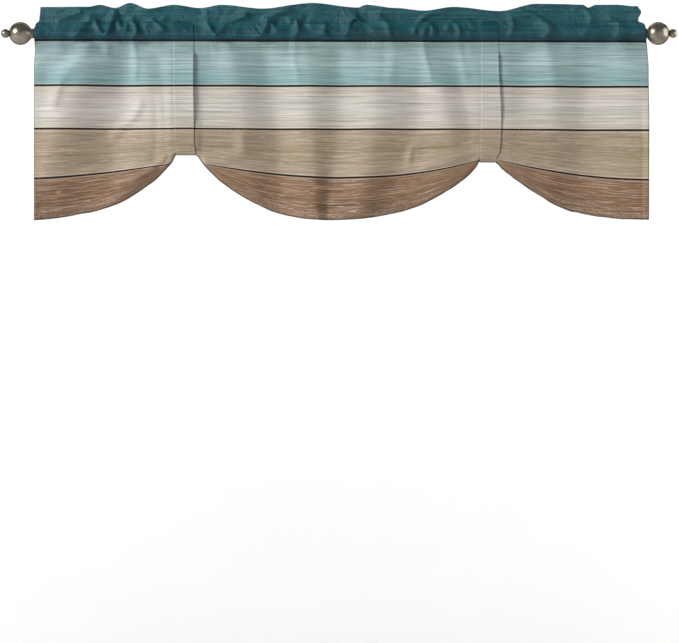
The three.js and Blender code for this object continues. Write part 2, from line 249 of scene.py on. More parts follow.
class Recipe:
    """Node tree of one material, with a Principled surface."""

    def __init__(self, name: str) -> None:
        """Start a material that holds one Principled shader."""
        self.material = bpy.data.materials.new(name)
        self.material.use_nodes = True
        self.tree = self.material.node_tree
        self.tree.nodes.clear()
        self.shader = self.node("ShaderNodeBsdfPrincipled", {}, {})
        self.node("ShaderNodeOutputMaterial", {}, {"Surface": self.shader.outputs[0]})

    def node(self, kind: str, settings: dict, inputs: dict) -> bpy.types.Node:
        """Add a node.

        Args:
            kind: The node's type.
            settings: Its properties, set first; "stops" are a ramp's places and colours.
            inputs: Values, signals or sockets, by input name or number.

        Returns:
            The new node.
        """
        node = self.tree.nodes.new(kind)
        for name, value in settings.items():
            if name == "stops":
                self.fill_ramp(node.color_ramp, value)
            else:
                setattr(node, name, value)
        for name, value in inputs.items():
            self.feed(node.inputs[name], value)
        return node

    def fill_ramp(self, ramp: bpy.types.ColorRamp, stops: Sequence[tuple[float, Colour]]) -> None:
        """Set a ramp's stops.

        Args:
            ramp: The ramp, which starts with two stops.
            stops: Rising places from 0 to 1 with their colours.
        """
        while len(ramp.elements) < len(stops):
            ramp.elements.new(1.0)
        for element, (place, colour) in zip(ramp.elements, stops):
            element.position = place
            element.color = (*colour, 1.0)

    def feed(self, socket: Socket, value: object) -> None:
        """Link a signal or socket to an input, or set its value.

        Args:
            socket: The input.
            value: A signal, an output socket, a number, a vector or a colour.
        """
        if isinstance(value, Signal):
            self.tree.links.new(value.socket, socket)
        elif isinstance(value, Socket):
            self.tree.links.new(value, socket)
        elif socket.type == "RGBA" and len(value) == 3:
            socket.default_value = (*value, 1.0)
        else:
            socket.default_value = value

    def signal(self, kind: str, settings: dict, inputs: dict, output: str | int = 0) -> Signal:
        """Add a node in the same way, and take one of its outputs as a signal."""
        return Signal(self, self.node(kind, settings, inputs).outputs[output])

    def pair(self, uv_map: str) -> tuple[Signal, Signal]:
        """Two coordinates of a UV map.

        Args:
            uv_map: The map's name.

        Returns:
            Its first and second coordinate.
        """
        source = self.node("ShaderNodeUVMap", {"uv_map": uv_map}, {})
        parts = self.node("ShaderNodeSeparateXYZ", {}, {0: source.outputs[0]})
        return Signal(self, parts.outputs[0]), Signal(self, parts.outputs[1])

    def attribute(self, name: str) -> Signal:
        """Number kept on the mesh under a name."""
        return self.signal("ShaderNodeAttribute", {"attribute_name": name}, {}, "Fac")

    def noise(self, first: Signal, second: Signal, layer: Layer) -> Signal:
        """Noise of about 0 to 1 whose size differs along its two coordinates.

        Args:
            first: Coordinate in metres, for the layer's size along.
            second: Coordinate in metres, for its size across.
            layer: Sizes, seed and detail.

        Returns:
            The noise.
        """
        inputs = {0: first * layer.along, 1: second * layer.across, 2: layer.seed}
        place = self.node("ShaderNodeCombineXYZ", {}, inputs).outputs[0]
        noise = {"Vector": place, "Scale": 1.0, "Detail": layer.detail, "Roughness": 0.55}
        return self.signal("ShaderNodeTexNoise", {"noise_dimensions": "3D"}, noise, "Fac")

    def marks(self, first: Signal, second: Signal, layer: Layer) -> Signal:
        """The same noise, raised by the layer's step to marks of 0 to 1."""
        return self.noise(first, second, layer).rise(*layer.step)

    def place(self) -> Socket:
        """Place in the piece's own space."""
        return self.node("ShaderNodeTexCoord", {}, {}).outputs["Object"]

    def cloud(self, scale: float, detail: float) -> Signal:
        """Noise of about 0 to 1 that is the same size all ways."""
        inputs = {"Vector": self.place(), "Scale": scale, "Detail": detail}
        return self.signal("ShaderNodeTexNoise", {}, inputs, "Fac")

    def blend(self, kind: str, share: Signal | float, first: object, second: object) -> Socket:
        """Blend two colours.

        Args:
            kind: Blend type of the Mix node.
            share: How much of the second colour is used.
            first: Colour or socket.
            second: Colour or socket.

        Returns:
            The blended colour's socket.
        """
        settings = {"data_type": "RGBA", "blend_type": kind}
        inputs = {0: share, 6: first, 7: second}
        return self.node("ShaderNodeMix", settings, inputs).outputs[2]

    def grey(self, value: Signal) -> Socket:
        """Colour whose three parts are all one signal."""
        parts = {"Red": value, "Green": value, "Blue": value}
        return self.node("ShaderNodeCombineColor", {}, parts).outputs[0]

    def surface(self, **inputs: object) -> Material:
        """Set the Principled shader's inputs.

        Args:
            inputs: Values by input name, with spaces written as underscores.

        Returns:
            The finished material.
        """
        for name, value in inputs.items():
            self.feed(self.shader.inputs[name.replace("_", " ")], value)
        return self.material

    def bump(self, height: Signal, distance: float, strength: float) -> Socket:
        """Normal of a height that varies, where 1 stands the distance out, in metres."""
        inputs = {"Height": height, "Distance": distance, "Strength": strength}
        return self.node("ShaderNodeBump", {}, inputs).outputs[0]


class ClothRecipe(Recipe):
    """Node tree of a cloth material, with the coordinates of its two maps."""

    def __init__(self, name: str) -> None:
        """Start the material and read its maps."""
        super().__init__(name)
        self.across, self.down = self.pair("cloth")
        self.side, self.rim = self.pair("edges")


@dataclass(frozen=True)
class Band:
    """One plank-like stripe of the print: where it starts, its tones and the gap over it."""

    start: float
    tones: tuple[Colour, Colour, Colour]
    gap: float = 0.0025


@dataclass(frozen=True)
class PrintedCloth:
    """Polyester cloth printed with five bands of weathered wood grain.

    The map "cloth" gives metres across the cloth and metres down from the first gap
    between the bands. The map "edges" gives metres in from the nearest side and up from
    the lower fold. The number "hem" gives metres from the cut edge where it is turned up
    behind, "seam" metres from the nearest seam, "steep" is 1 where the lower edge climbs
    steeply and shows no stitches, and "front" is 1 on the printed side. Places and widths
    are metres.

    Attributes:
        name: Name of the material.
        side_stitch: How far in from the sides the stitches run.
        rim_stitch: How far up from the lower fold the stitches run.
        hem_tint: How much paler the doubled hem is.
        edge_shade: Strength of the painted shade line along the sides.
        foot_shade: Strength of the painted shade line along the lower fold.
        tone_places: Share of a band's height at which each of its tones lies.
        low: Distance down the print at the start of the ramp.
        high: The same at its end.
        low_start: Where the grain of the two lowest bands starts.
        brown_start: Where that of the lowest band starts.
        waver: How far the grain waves, and how much farther in the lower bands.
        contrast: Change of the streaks in the dark, the two lowest and the lowest bands.
        marked: Share of pale marks, and what the two lowest and the lowest bands add.
        lips: Strength of the pale lips over and under a gap.
        scratches: Tint of the marks, above the lowest band and in it.
        creased: Strength of fine creases in the heading and in the first band.
    """

    name: str
    side_stitch: float
    rim_stitch: float
    hem_tint: float
    edge_shade: float
    foot_shade: float = 1.0
    bands: tuple[Band, ...] = (
        Band(-0.055, (srgb(25, 86, 95), srgb(20, 83, 93), srgb(2, 62, 73))),
        Band(0.0, (srgb(132, 160, 162), srgb(160, 186, 189), srgb(130, 170, 172)), 0.0031),
        Band(0.0956, (srgb(197, 189, 177), srgb(208, 203, 198), srgb(197, 191, 177)), 0.0029),
        Band(0.1885, (srgb(176, 157, 136), srgb(164, 148, 122), srgb(174, 157, 135)), 0.0029),
        Band(0.293, (srgb(141, 111, 86), srgb(133, 103, 77), srgb(142, 112, 87)), 0.0028),
    )
    tone_places: Triple = (0.001, 0.45, 0.999)
    low: float = -0.40
    high: float = 0.40
    low_start: Pair = (0.186, 0.192)
    brown_start: Pair = (0.290, 0.294)
    waver: Pair = (0.0004, 0.0012)
    contrast: Triple = (0.50, 0.10, 0.45)
    marked: Triple = (0.16, 0.36, 0.30)
    lips: Pair = (0.42, 0.26)
    lip_offset: float = 0.0030
    lip_width: float = 0.0017
    thread_step: float = 0.0009
    stitch_step: float = 0.0042
    creased: Pair = (3.3, 1.1)
    relief: float = 0.00045
    relief_strength: float = 0.55
    roughness: float = 0.46
    gloss: float = 0.38
    reverse: Colour = srgb(222, 220, 214)
    reverse_share: float = 0.80
    gap_tint: Colour = srgb(43, 19, 0)
    high_gap_tint: Colour = srgb(0, 24, 30)
    # Colour of the painted shade lines along the sides and the lower fold.
    lip_tint: Colour = srgb(236, 230, 218)
    edge_shade_tint: Colour = srgb(22, 14, 8)
    hem_colour: Colour = srgb(214, 200, 186)
    thread: Colour = srgb(206, 200, 188)
    ruddy_tint: Colour = srgb(150, 108, 78)
    scratches: tuple[Colour, Colour] = (srgb(222, 212, 190), srgb(206, 178, 154))
    warm_cast: Colour = (0.99, 1.005, 0.965)
    cool_cast: Colour = (1.015, 0.993, 1.012)
    wave: Layer = Layer(5.0, 22.0, 1.7, 1.0)
    broad: Layer = Layer(1.6, 100.0, 3.1, weight=0.34)
    streak: Layer = Layer(4.0, 430.0, 5.3, 3.0, 1.05)
    fine: Layer = Layer(11.0, 900.0, 9.9, weight=1.45)
    lines: Layer = Layer(2.8, 480.0, 21.4, 1.0)
    ruddy: Layer = Layer(2.4, 110.0, 31.0, weight=0.18, step=(0.45, 0.68))
    patches: Layer = Layer(4.0, 34.0, 44.0, step=(0.38, 0.64))
    long_marks: Layer = Layer(13.0, 640.0, 14.2, 1.0, step=(0.61, 0.66))
    short_marks: Layer = Layer(30.0, 620.0, 71.0, 1.0, step=(0.64, 0.69))
    speck: Layer = Layer(150.0, 210.0, 52.0, weight=0.40, step=(0.35, 0.65))
    first_crease: Layer = Layer(25.0, 17.0, 81.0, 1.0)
    second_crease: Layer = Layer(33.0, 23.0, 87.0, 1.0)

    def stops(self) -> list[tuple[float, Colour]]:
        """Ramp stops of the bands: three tones each, with a sharp change between bands.

        Returns:
            Places from 0 to 1 with their colours.
        """
        stops = []
        ends = [band.start for band in self.bands[1:]] + [self.high]
        for band, end in zip(self.bands, ends):
            for share, tone in zip(self.tone_places, band.tones):
                place = mix(band.start, end, share)
                stops.append(((place - self.low) / (self.high - self.low), tone))
        return stops

    def material(self) -> Material:
        """Make the material.

        The planks and gaps of the print come first, then what sewing does to them and a
        painted shade line along the sides and the lower fold, and behind, the print washed out
        to the pale reverse. Weave, stitches, fine creases, doubled cloth and sunken seams give
        the bump's height.

        Returns:
            The material.
        """
        recipe = ClothRecipe(self.name)
        across, down, side, rim = recipe.across, recipe.down, recipe.side, recipe.rim
        wave = recipe.noise(across, down, self.wave) - 0.5
        waver, more = self.waver
        grain = down + wave * (down.rise(0.170, 0.200) * more + waver)
        streak = recipe.noise(across, grain, self.streak) - 0.5
        fine = recipe.noise(across, grain, self.fine) - 0.5
        gaps = self.at_gaps(down, 0.0)
        colour = self.planks(recipe, grain, streak, fine)
        colour = self.gapped(recipe, colour, gaps)
        gentle = 1.0 - recipe.attribute("steep")
        folded = rim.rise(self.rim_stitch + 0.002, self.rim_stitch) * rim.rise(-0.001, 0.001)
        folded = folded * gentle
        stitches = self.stitches(recipe) * (gentle + side.rise(0.02, 0.01)).kept()
        colour = self.sewn(recipe, colour, folded, stitches)
        washed = recipe.blend("MIX", self.reverse_share, colour, self.reverse)
        colour = recipe.blend("MIX", 1.0 - recipe.attribute("front"), colour, washed)
        doubled = side.rise(self.side_stitch + 0.001, self.side_stitch - 0.001) * 0.8
        sunken = recipe.attribute("seam").rise(0.0025, 0.0) * -0.5
        height = self.weave(recipe) * 0.35 + stitches * 0.9 + self.crumpling(recipe)
        height = height + (doubled + folded * 0.5) + sunken
        return recipe.surface(
            Base_Color=colour,
            Roughness=self.roughness + (streak + fine) * 0.12 + gaps * 0.4,
            Normal=recipe.bump(height, self.relief, self.relief_strength),
            Specular_IOR_Level=self.gloss,
        )

    def planks(self, recipe: ClothRecipe, grain: Signal, streak: Signal, fine: Signal) -> Socket:
        """Colour of the wood grain: the ramp's tone times 1 + streaks.

        The streaks are noise drawn out across the cloth. Ruddy patches lie in the lower
        bands, warm and cool ones everywhere, and short pale scratches mostly in the two
        lowest bands.

        Args:
            recipe: The material's nodes.
            grain: Metres down the cloth, waved as the grain is.
            streak: Streaks, from -0.5 to 0.5.
            fine: Finer streaks, from -0.5 to 0.5.

        Returns:
            The colour's socket.
        """
        across, down = recipe.across, recipe.down
        in_dark = self.in_dark(down)
        low_bands = down.rise(*self.low_start)
        in_brown = down.rise(*self.brown_start)
        place = (down - self.low) / (self.high - self.low)
        ramp = recipe.node("ShaderNodeValToRGB", {"stops": self.stops()}, {0: place})
        broad = recipe.noise(across, grain, self.broad) - 0.5
        dark, low, brown = self.contrast
        strength = in_dark * dark - low_bands * low + in_brown * brown + 1.0
        streaks = broad * self.broad.weight + streak * self.streak.weight
        tone = 1.0 + (streaks + fine * self.fine.weight) * strength
        lines = recipe.noise(across, grain, self.lines)
        tone = tone - lines.rise(0.57, 0.70) * 0.15 + lines.rise(0.44, 0.33) * 0.14
        share = low_bands * recipe.marks(across, grain, self.ruddy) * self.ruddy.weight
        base = recipe.blend("MIX", share, ramp.outputs[0], self.ruddy_tint)
        patches = recipe.marks(across, grain, self.patches)
        cast = recipe.blend("MIX", patches, self.cool_cast, self.warm_cast)
        base = recipe.blend("MULTIPLY", 1.0, base, cast)
        colour = recipe.blend("MULTIPLY", 1.0, base, recipe.grey(tone))
        long_marks = recipe.marks(across, grain, self.long_marks)
        short_marks = recipe.marks(across, grain, self.short_marks)
        least, low, brown = self.marked
        marked = (low_bands * low + in_brown * brown + least) * (1.0 - in_dark)
        pale_wood = recipe.blend("MIX", in_brown, *self.scratches)
        return recipe.blend("MIX", long_marks.most(short_marks) * marked, colour, pale_wood)

    def gapped(self, recipe: ClothRecipe, colour: Socket, gaps: Signal) -> Socket:
        """Draw the dark gaps between the bands, each with a pale lip over and under it.

        Args:
            recipe: The material's nodes.
            colour: Colour of the planks.
            gaps: 1 in a gap and 0 elsewhere.

        Returns:
            The colour's socket.
        """
        over, under = self.lips
        lips = self.at_gaps(recipe.down, -self.lip_offset) * over
        lips = lips.most(self.at_gaps(recipe.down, self.lip_offset) * under)
        lips = lips * (1.0 - self.in_dark(recipe.down))
        colour = recipe.blend("MIX", lips, colour, self.lip_tint)
        depth = recipe.down.rise(0.05, 0.17)
        tint = recipe.blend("MIX", depth, self.high_gap_tint, self.gap_tint)
        return recipe.blend("MIX", gaps, colour, tint)

    def sewn(
        self, recipe: ClothRecipe, colour: Socket, folded: Signal, stitches: Signal
    ) -> Socket:
        """Speckle and pale tint of the turned-up hem, the thread, and painted shade at the edges.

        Args:
            recipe: The material's nodes.
            colour: Colour of the print.
            folded: 1 where the hem lies behind the face.
            stitches: 1 on a stitch.

        Returns:
            The colour's socket.
        """
        speck = recipe.marks(recipe.across, recipe.rim, self.speck) - 0.5
        speckled = recipe.grey(1.0 + folded * speck * self.speck.weight)
        colour = recipe.blend("MULTIPLY", 1.0, colour, speckled)
        colour = recipe.blend("MIX", folded * self.hem_tint, colour, self.hem_colour)
        colour = recipe.blend("MIX", stitches * 0.22, colour, self.thread)
        # Painted shade: dark lines along the lower fold and the sides stand for the shade of the
        # turned edges, and on a strap for its shadow along the right edge.
        edges = recipe.rim.near(0.0, 0.0036) * self.foot_shade
        edges = edges.most(recipe.side.near(0.0, 0.0022) * self.edge_shade)
        return recipe.blend("MIX", edges * 0.70, colour, self.edge_shade_tint)

    def in_dark(self, down: Signal) -> Signal:
        """1 in the dark band of the heading and 0 below it."""
        return down.rise(0.001, -0.001)

    def at_gaps(self, down: Signal, offset: float) -> Signal:
        """Strongest of the marks at the gaps: the gaps themselves, or lips beside them.

        Args:
            down: Metres down the cloth.
            offset: How far below its gap each mark lies; 0 is the gap itself.

        Returns:
            1 on a mark and 0 elsewhere.
        """
        total, *others = [
            down.near(band.start + offset, self.lip_width if offset else band.gap)
            for band in self.bands[1:]
        ]
        for mark in others:
            total = total.most(mark)
        return total

    def stitches(self, recipe: ClothRecipe) -> Signal:
        """Rows of short stitches along the sides, above the lower fold and along the hem.

        Args:
            recipe: The material's nodes.

        Returns:
            1 on a stitch and 0 elsewhere.
        """
        turn = 2.0 * math.pi / self.stitch_step
        dash_down = (recipe.down * turn).sine().rise(-0.5, 0.1)
        dash_across = (recipe.across * turn).sine().rise(-0.5, 0.1)
        along_side = recipe.side.near(self.side_stitch, 0.0008) * dash_down
        along_side = along_side * recipe.down.rise(0.0, 0.03)
        along_rim = recipe.rim.near(self.rim_stitch, 0.0009)
        along_rim = along_rim.most(recipe.attribute("hem").near(self.rim_stitch, 0.0009))
        return along_side.most(along_rim * dash_across)

    def crumpling(self, recipe: ClothRecipe) -> Signal:
        """Fine creases, the higher of two sets: max(1 - 9*|n - 0.5|, 0) of a slanting noise n.

        They are strongest in the heading and fade out below the first band.

        Args:
            recipe: The material's nodes.

        Returns:
            Height of the creases.
        """
        def ridges(slant: float, layer: Layer) -> Signal:
            """Ridges of one noise, slanted by a share of the way down."""
            noise = recipe.noise(recipe.across + recipe.down * slant, recipe.down, layer)
            return 1.0 - (noise - 0.5).size() * 9.0

        both = ridges(0.6, self.first_crease).most(ridges(-0.5, self.second_crease))
        heading, first_band = self.creased
        place = recipe.down.rise(0.022, -0.006) * heading
        return both.most(0.0) * (place + recipe.down.rise(0.110, 0.010) * first_band)

    def weave(self, recipe: ClothRecipe) -> Signal:
        """Height of the plain weave: sine across times sine down, from -1 to 1."""
        turn = 2.0 * math.pi / self.thread_step
        return (recipe.across * turn).sine() * (recipe.down * turn).sine()


@dataclass(frozen=True)
class SatinNickel:
    """Warm satin nickel with faint turning marks around the rod's axis.

    Attributes:
        name: Name of the material.
        tint: Its usual colour.
        worn_tint: Colour of its duller clouds.
        edge_shade_tint: Colour that it reflects where it curves away, which darkens its outline.
        roughness: Middle of its roughness.
        cloud_size: Clouds to the metre and their finer layers.
        clouded: Values of that noise between which the metal turns duller.
        rings: The turning marks along X.
        ring_depth: Their depth in metres.
    """

    name: str = "satin_nickel"
    tint: Colour = srgb(163, 155, 140)
    worn_tint: Colour = srgb(116, 107, 93)
    edge_shade_tint: Colour = srgb(30, 25, 20)
    roughness: float = 0.30
    cloud_size: Pair = (55.0, 3.0)
    clouded: Pair = (0.35, 0.75)
    rings: Layer = Layer(2600.0, 1.0, 2.5)
    ring_depth: float = 0.00006

    def material(self) -> Material:
        """Make the material: cloudy tint, and fine rings at right angles to X.

        Returns:
            The material.
        """
        recipe = Recipe(self.name)
        cloud = recipe.cloud(*self.cloud_size)
        along = recipe.signal("ShaderNodeSeparateXYZ", {}, {0: recipe.place()})
        rings = recipe.noise(along, along * 0.0, self.rings)
        worn = cloud.rise(*self.clouded) * 0.5
        colour = recipe.blend("MIX", worn, self.tint, self.worn_tint)
        return recipe.surface(
            Base_Color=colour,
            Metallic=1.0,
            Specular_Tint=self.edge_shade_tint,
            Roughness=self.roughness + (cloud - 0.5) * 0.16 + (rings - 0.5) * 0.10,
            Normal=recipe.bump(rings, self.ring_depth, 0.25),
        )


@dataclass(frozen=True)
class PalePaint:
    """Matt pale paint of the floor and the backdrop."""

    name: str = "pale_backdrop"
    tint: Colour = (0.70, 0.70, 0.696)
    glow: float = 0.14

    def material(self) -> Material:
        """Make the material: one pale tint, very slightly uneven, that glows a little.

        Returns:
            The material.
        """
        recipe = Recipe(self.name)
        tone = recipe.grey(0.985 + recipe.cloud(1.5, 2.0) * 0.03)
        colour = recipe.blend("MULTIPLY", 1.0, self.tint, tone)
        self_lit = {"Emission_Color": self.tint, "Emission_Strength": self.glow}
        return recipe.surface(Base_Color=colour, Roughness=0.9, **self_lit)


# Meshes --------------------------------------------------------------------------------


def linked(name: str, data: bpy.types.ID) -> Piece:
    """Link a new object at the origin that holds the data.

    Args:
        name: Its name.
        data: A mesh, a light or a camera.

    Returns:
        The new object.
    """
    piece = bpy.data.objects.new(name, data)
    bpy.context.scene.collection.objects.link(piece)
    return piece


def placed(mesh: bpy.types.Mesh, finish: Material) -> Piece:
    """Link a smooth object with its mesh's name.

    Args:
        mesh: The mesh, with its faces.
        finish: The material.

    Returns:
        The new object.
    """
    mesh.polygons.foreach_set("use_smooth", np.ones(len(mesh.polygons), dtype=bool))
    mesh.materials.append(finish)
    return linked(mesh.name, mesh)


def new_object(name: str, points: Array, faces: Array, finish: Material) -> Piece:
    """Make an object of four-sided faces.

    Args:
        name: Name of the piece.
        points: Points in millimetres, one row each.
        faces: Faces as rows of four point numbers.
        finish: The material.

    Returns:
        The new object.
    """
    mesh = bpy.data.meshes.new(name)
    mesh.vertices.add(len(points))
    mesh.vertices.foreach_set("co", (points * METRE).astype(np.float32).ravel())
    mesh.loops.add(faces.size)
    mesh.loops.foreach_set("vertex_index", faces.astype(np.int32).ravel())
    mesh.polygons.add(len(faces))
    mesh.polygons.foreach_set("loop_start", np.arange(0, faces.size, 4, dtype=np.int32))
    mesh.update(calc_edges=True)
    return placed(mesh, finish)


@dataclass
class SheetMesh:
    """Closed sheet of cloth on a grid of middle points.

    Attributes:
        rows: Grid [row, column, xyz]; its outer side lies along row x column direction.
        thickness: Full thickness, one number or one for each point.
        cloth: Two coordinates of the print [row, column, 2] in metres.
        edges: Metres in from the side and up from the lower fold [row, column, 2].
        numbers: Other numbers by name [row, column], with lengths in metres.
    """

    rows: Array
    thickness: Array | float
    cloth: Array
    edges: Array
    numbers: dict[str, Array]

    def normals(self) -> Array:
        """Unit normal at each point: the cross product of the slopes along rows and columns."""
        cross = np.cross(np.gradient(self.rows, axis=0), np.gradient(self.rows, axis=1))
        return cross / np.linalg.norm(cross, axis=2, keepdims=True)

    def faces(self) -> Array:
        """Faces of the outer side, the inner side and the four narrow edges.

        Returns:
            Rows of four point numbers.
        """
        height, width = self.rows.shape[:2]
        outer = np.arange(height * width).reshape(height, width)
        inner = outer + height * width

        def strip(a: Array, b: Array, c: Array, d: Array) -> Array:
            """Faces from four matching grids of point numbers."""
            return np.stack([a, b, c, d], axis=-1).reshape(-1, 4)

        return np.concatenate([
            strip(outer[:-1, :-1], outer[1:, :-1], outer[1:, 1:], outer[:-1, 1:]),
            strip(inner[:-1, :-1], inner[:-1, 1:], inner[1:, 1:], inner[1:, :-1]),
            strip(outer[1:, 0], outer[:-1, 0], inner[:-1, 0], inner[1:, 0]),
            strip(outer[:-1, -1], outer[1:, -1], inner[1:, -1], inner[:-1, -1]),
            strip(outer[0, :-1], outer[0, 1:], inner[0, 1:], inner[0, :-1]),
            strip(outer[-1, 1:], outer[-1, :-1], inner[-1, :-1], inner[-1, 1:]),
        ])

    def build(self, name: str, finish: Material) -> Piece:
        """Make the object with its maps and numbers.

        Args:
            name: Name of the piece.
            finish: The material.

        Returns:
            The new object.
        """
        offset = self.normals() * (np.asarray(self.thickness)[..., None] / 2.0)
        points = np.stack([self.rows + offset, self.rows - offset]).reshape(-1, 3)
        faces = self.faces()
        piece = new_object(name, points, faces, finish)
        mesh = piece.data
        for title, values in (("cloth", self.cloth), ("edges", self.edges)):
            both = np.tile(values.reshape(-1, 2), (2, 1))
            layer = mesh.uv_layers.new(name=title)
            layer.data.foreach_set("uv", both[faces.ravel()].astype(np.float32).ravel())
        count = self.rows.shape[0] * self.rows.shape[1]
        numbers = {key: np.tile(value.ravel(), 2) for key, value in self.numbers.items()}
        numbers["front"] = np.repeat([1.0, 0.0], count)
        for title, values in numbers.items():
            store = mesh.attributes.new(title, "FLOAT", "POINT")
            store.data.foreach_set("value", values.astype(np.float32))
        return piece


def turned(name: str, profile: Array, sides: int, finish: Material) -> Piece:
    """Turned piece about the X axis: (along, radius*cos a, radius*sin a) for a whole turn.

    Args:
        name: Name of the piece.
        profile: Rows of distance along X and radius; both end radii are 0.
        sides: Steps round the axis.
        finish: The material.

    Returns:
        The new object, with one point at each pole.
    """
    along, radius = profile[1:-1].T
    angle = np.linspace(0.0, 2.0 * math.pi, sides, endpoint=False)
    ring = np.stack([
        np.broadcast_to(along[:, None], (len(along), sides)),
        radius[:, None] * np.cos(angle),
        radius[:, None] * np.sin(angle),
    ], axis=-1)
    poles = np.array([[profile[0, 0], 0.0, 0.0], [profile[-1, 0], 0.0, 0.0]])
    points = np.concatenate([ring.reshape(-1, 3), poles])
    index = np.arange(ring.shape[0] * sides).reshape(-1, sides)
    after = np.roll(index, -1, axis=1)
    wall = np.stack([index[:-1], index[1:], after[1:], after[:-1]], axis=-1).reshape(-1, 4)
    first, last = len(points) - 2, len(points) - 1
    caps = [(first, int(a), int(b)) for a, b in zip(index[0], after[0])]
    caps += [(last, int(b), int(a)) for a, b in zip(index[-1], after[-1])]
    mesh = bpy.data.meshes.new(name)
    mesh.from_pydata((points * METRE).tolist(), [], wall.tolist() + caps)
    return placed(mesh, finish)


# Cloth ---------------------------------------------------------------------------------


@dataclass(frozen=True)
class Fold:
    """One crest or hollow: its places and how far it stands out, at three heights."""

    places: Triple
    outs: Triple

    @classmethod
    def rows(cls, *rows: tuple[float, ...]) -> tuple["Fold", ...]:
        """Folds from rows of three places across and three distances out."""
        return tuple(cls(row[:3], row[3:]) for row in rows)


@dataclass(frozen=True)
class HalfSwag:
    """Half swag from its low point to a strap, and the lowest print gap across it."""

    low_x: float
    strap_x: float
    strap_z: float
    bow: float
    gap_z: float
    gap_rise: float
    gap_power: float


@dataclass(frozen=True)
class Crease:
    """Soft ridge (positive height) or trough along a line of (x, z) points."""

    height: float
    width: float
    points: tuple[Pair, ...]

    @classmethod
    def rows(cls, *rows: tuple[float, ...]) -> tuple["Crease", ...]:
        """Creases from rows of height, width, and the x and z of each point in turn."""
        return tuple(cls(row[0], row[1], tuple(zip(row[2::2], row[3::2]))) for row in rows)

    def depth(self, x: Array, z: Array) -> Array:
        """Height * exp(-(distance / width)^2), with the distance to the nearest stretch.

        Args:
            x: Places across.
            z: Heights.

        Returns:
            How far the crease stands out at each place.
        """
        nearest = np.full(np.broadcast(x, z).shape, np.inf)
        for (x0, z0), (x1, z1) in zip(self.points, self.points[1:]):
            run = (x1 - x0) ** 2 + (z1 - z0) ** 2
            share = np.clip(((x - x0) * (x1 - x0) + (z - z0) * (z1 - z0)) / run, 0.0, 1.0)
            gap = (x - x0 - share * (x1 - x0)) ** 2 + (z - z0 - share * (z1 - z0)) ** 2
            nearest = np.minimum(nearest, gap)
        return self.height * np.exp(-nearest / self.width ** 2)


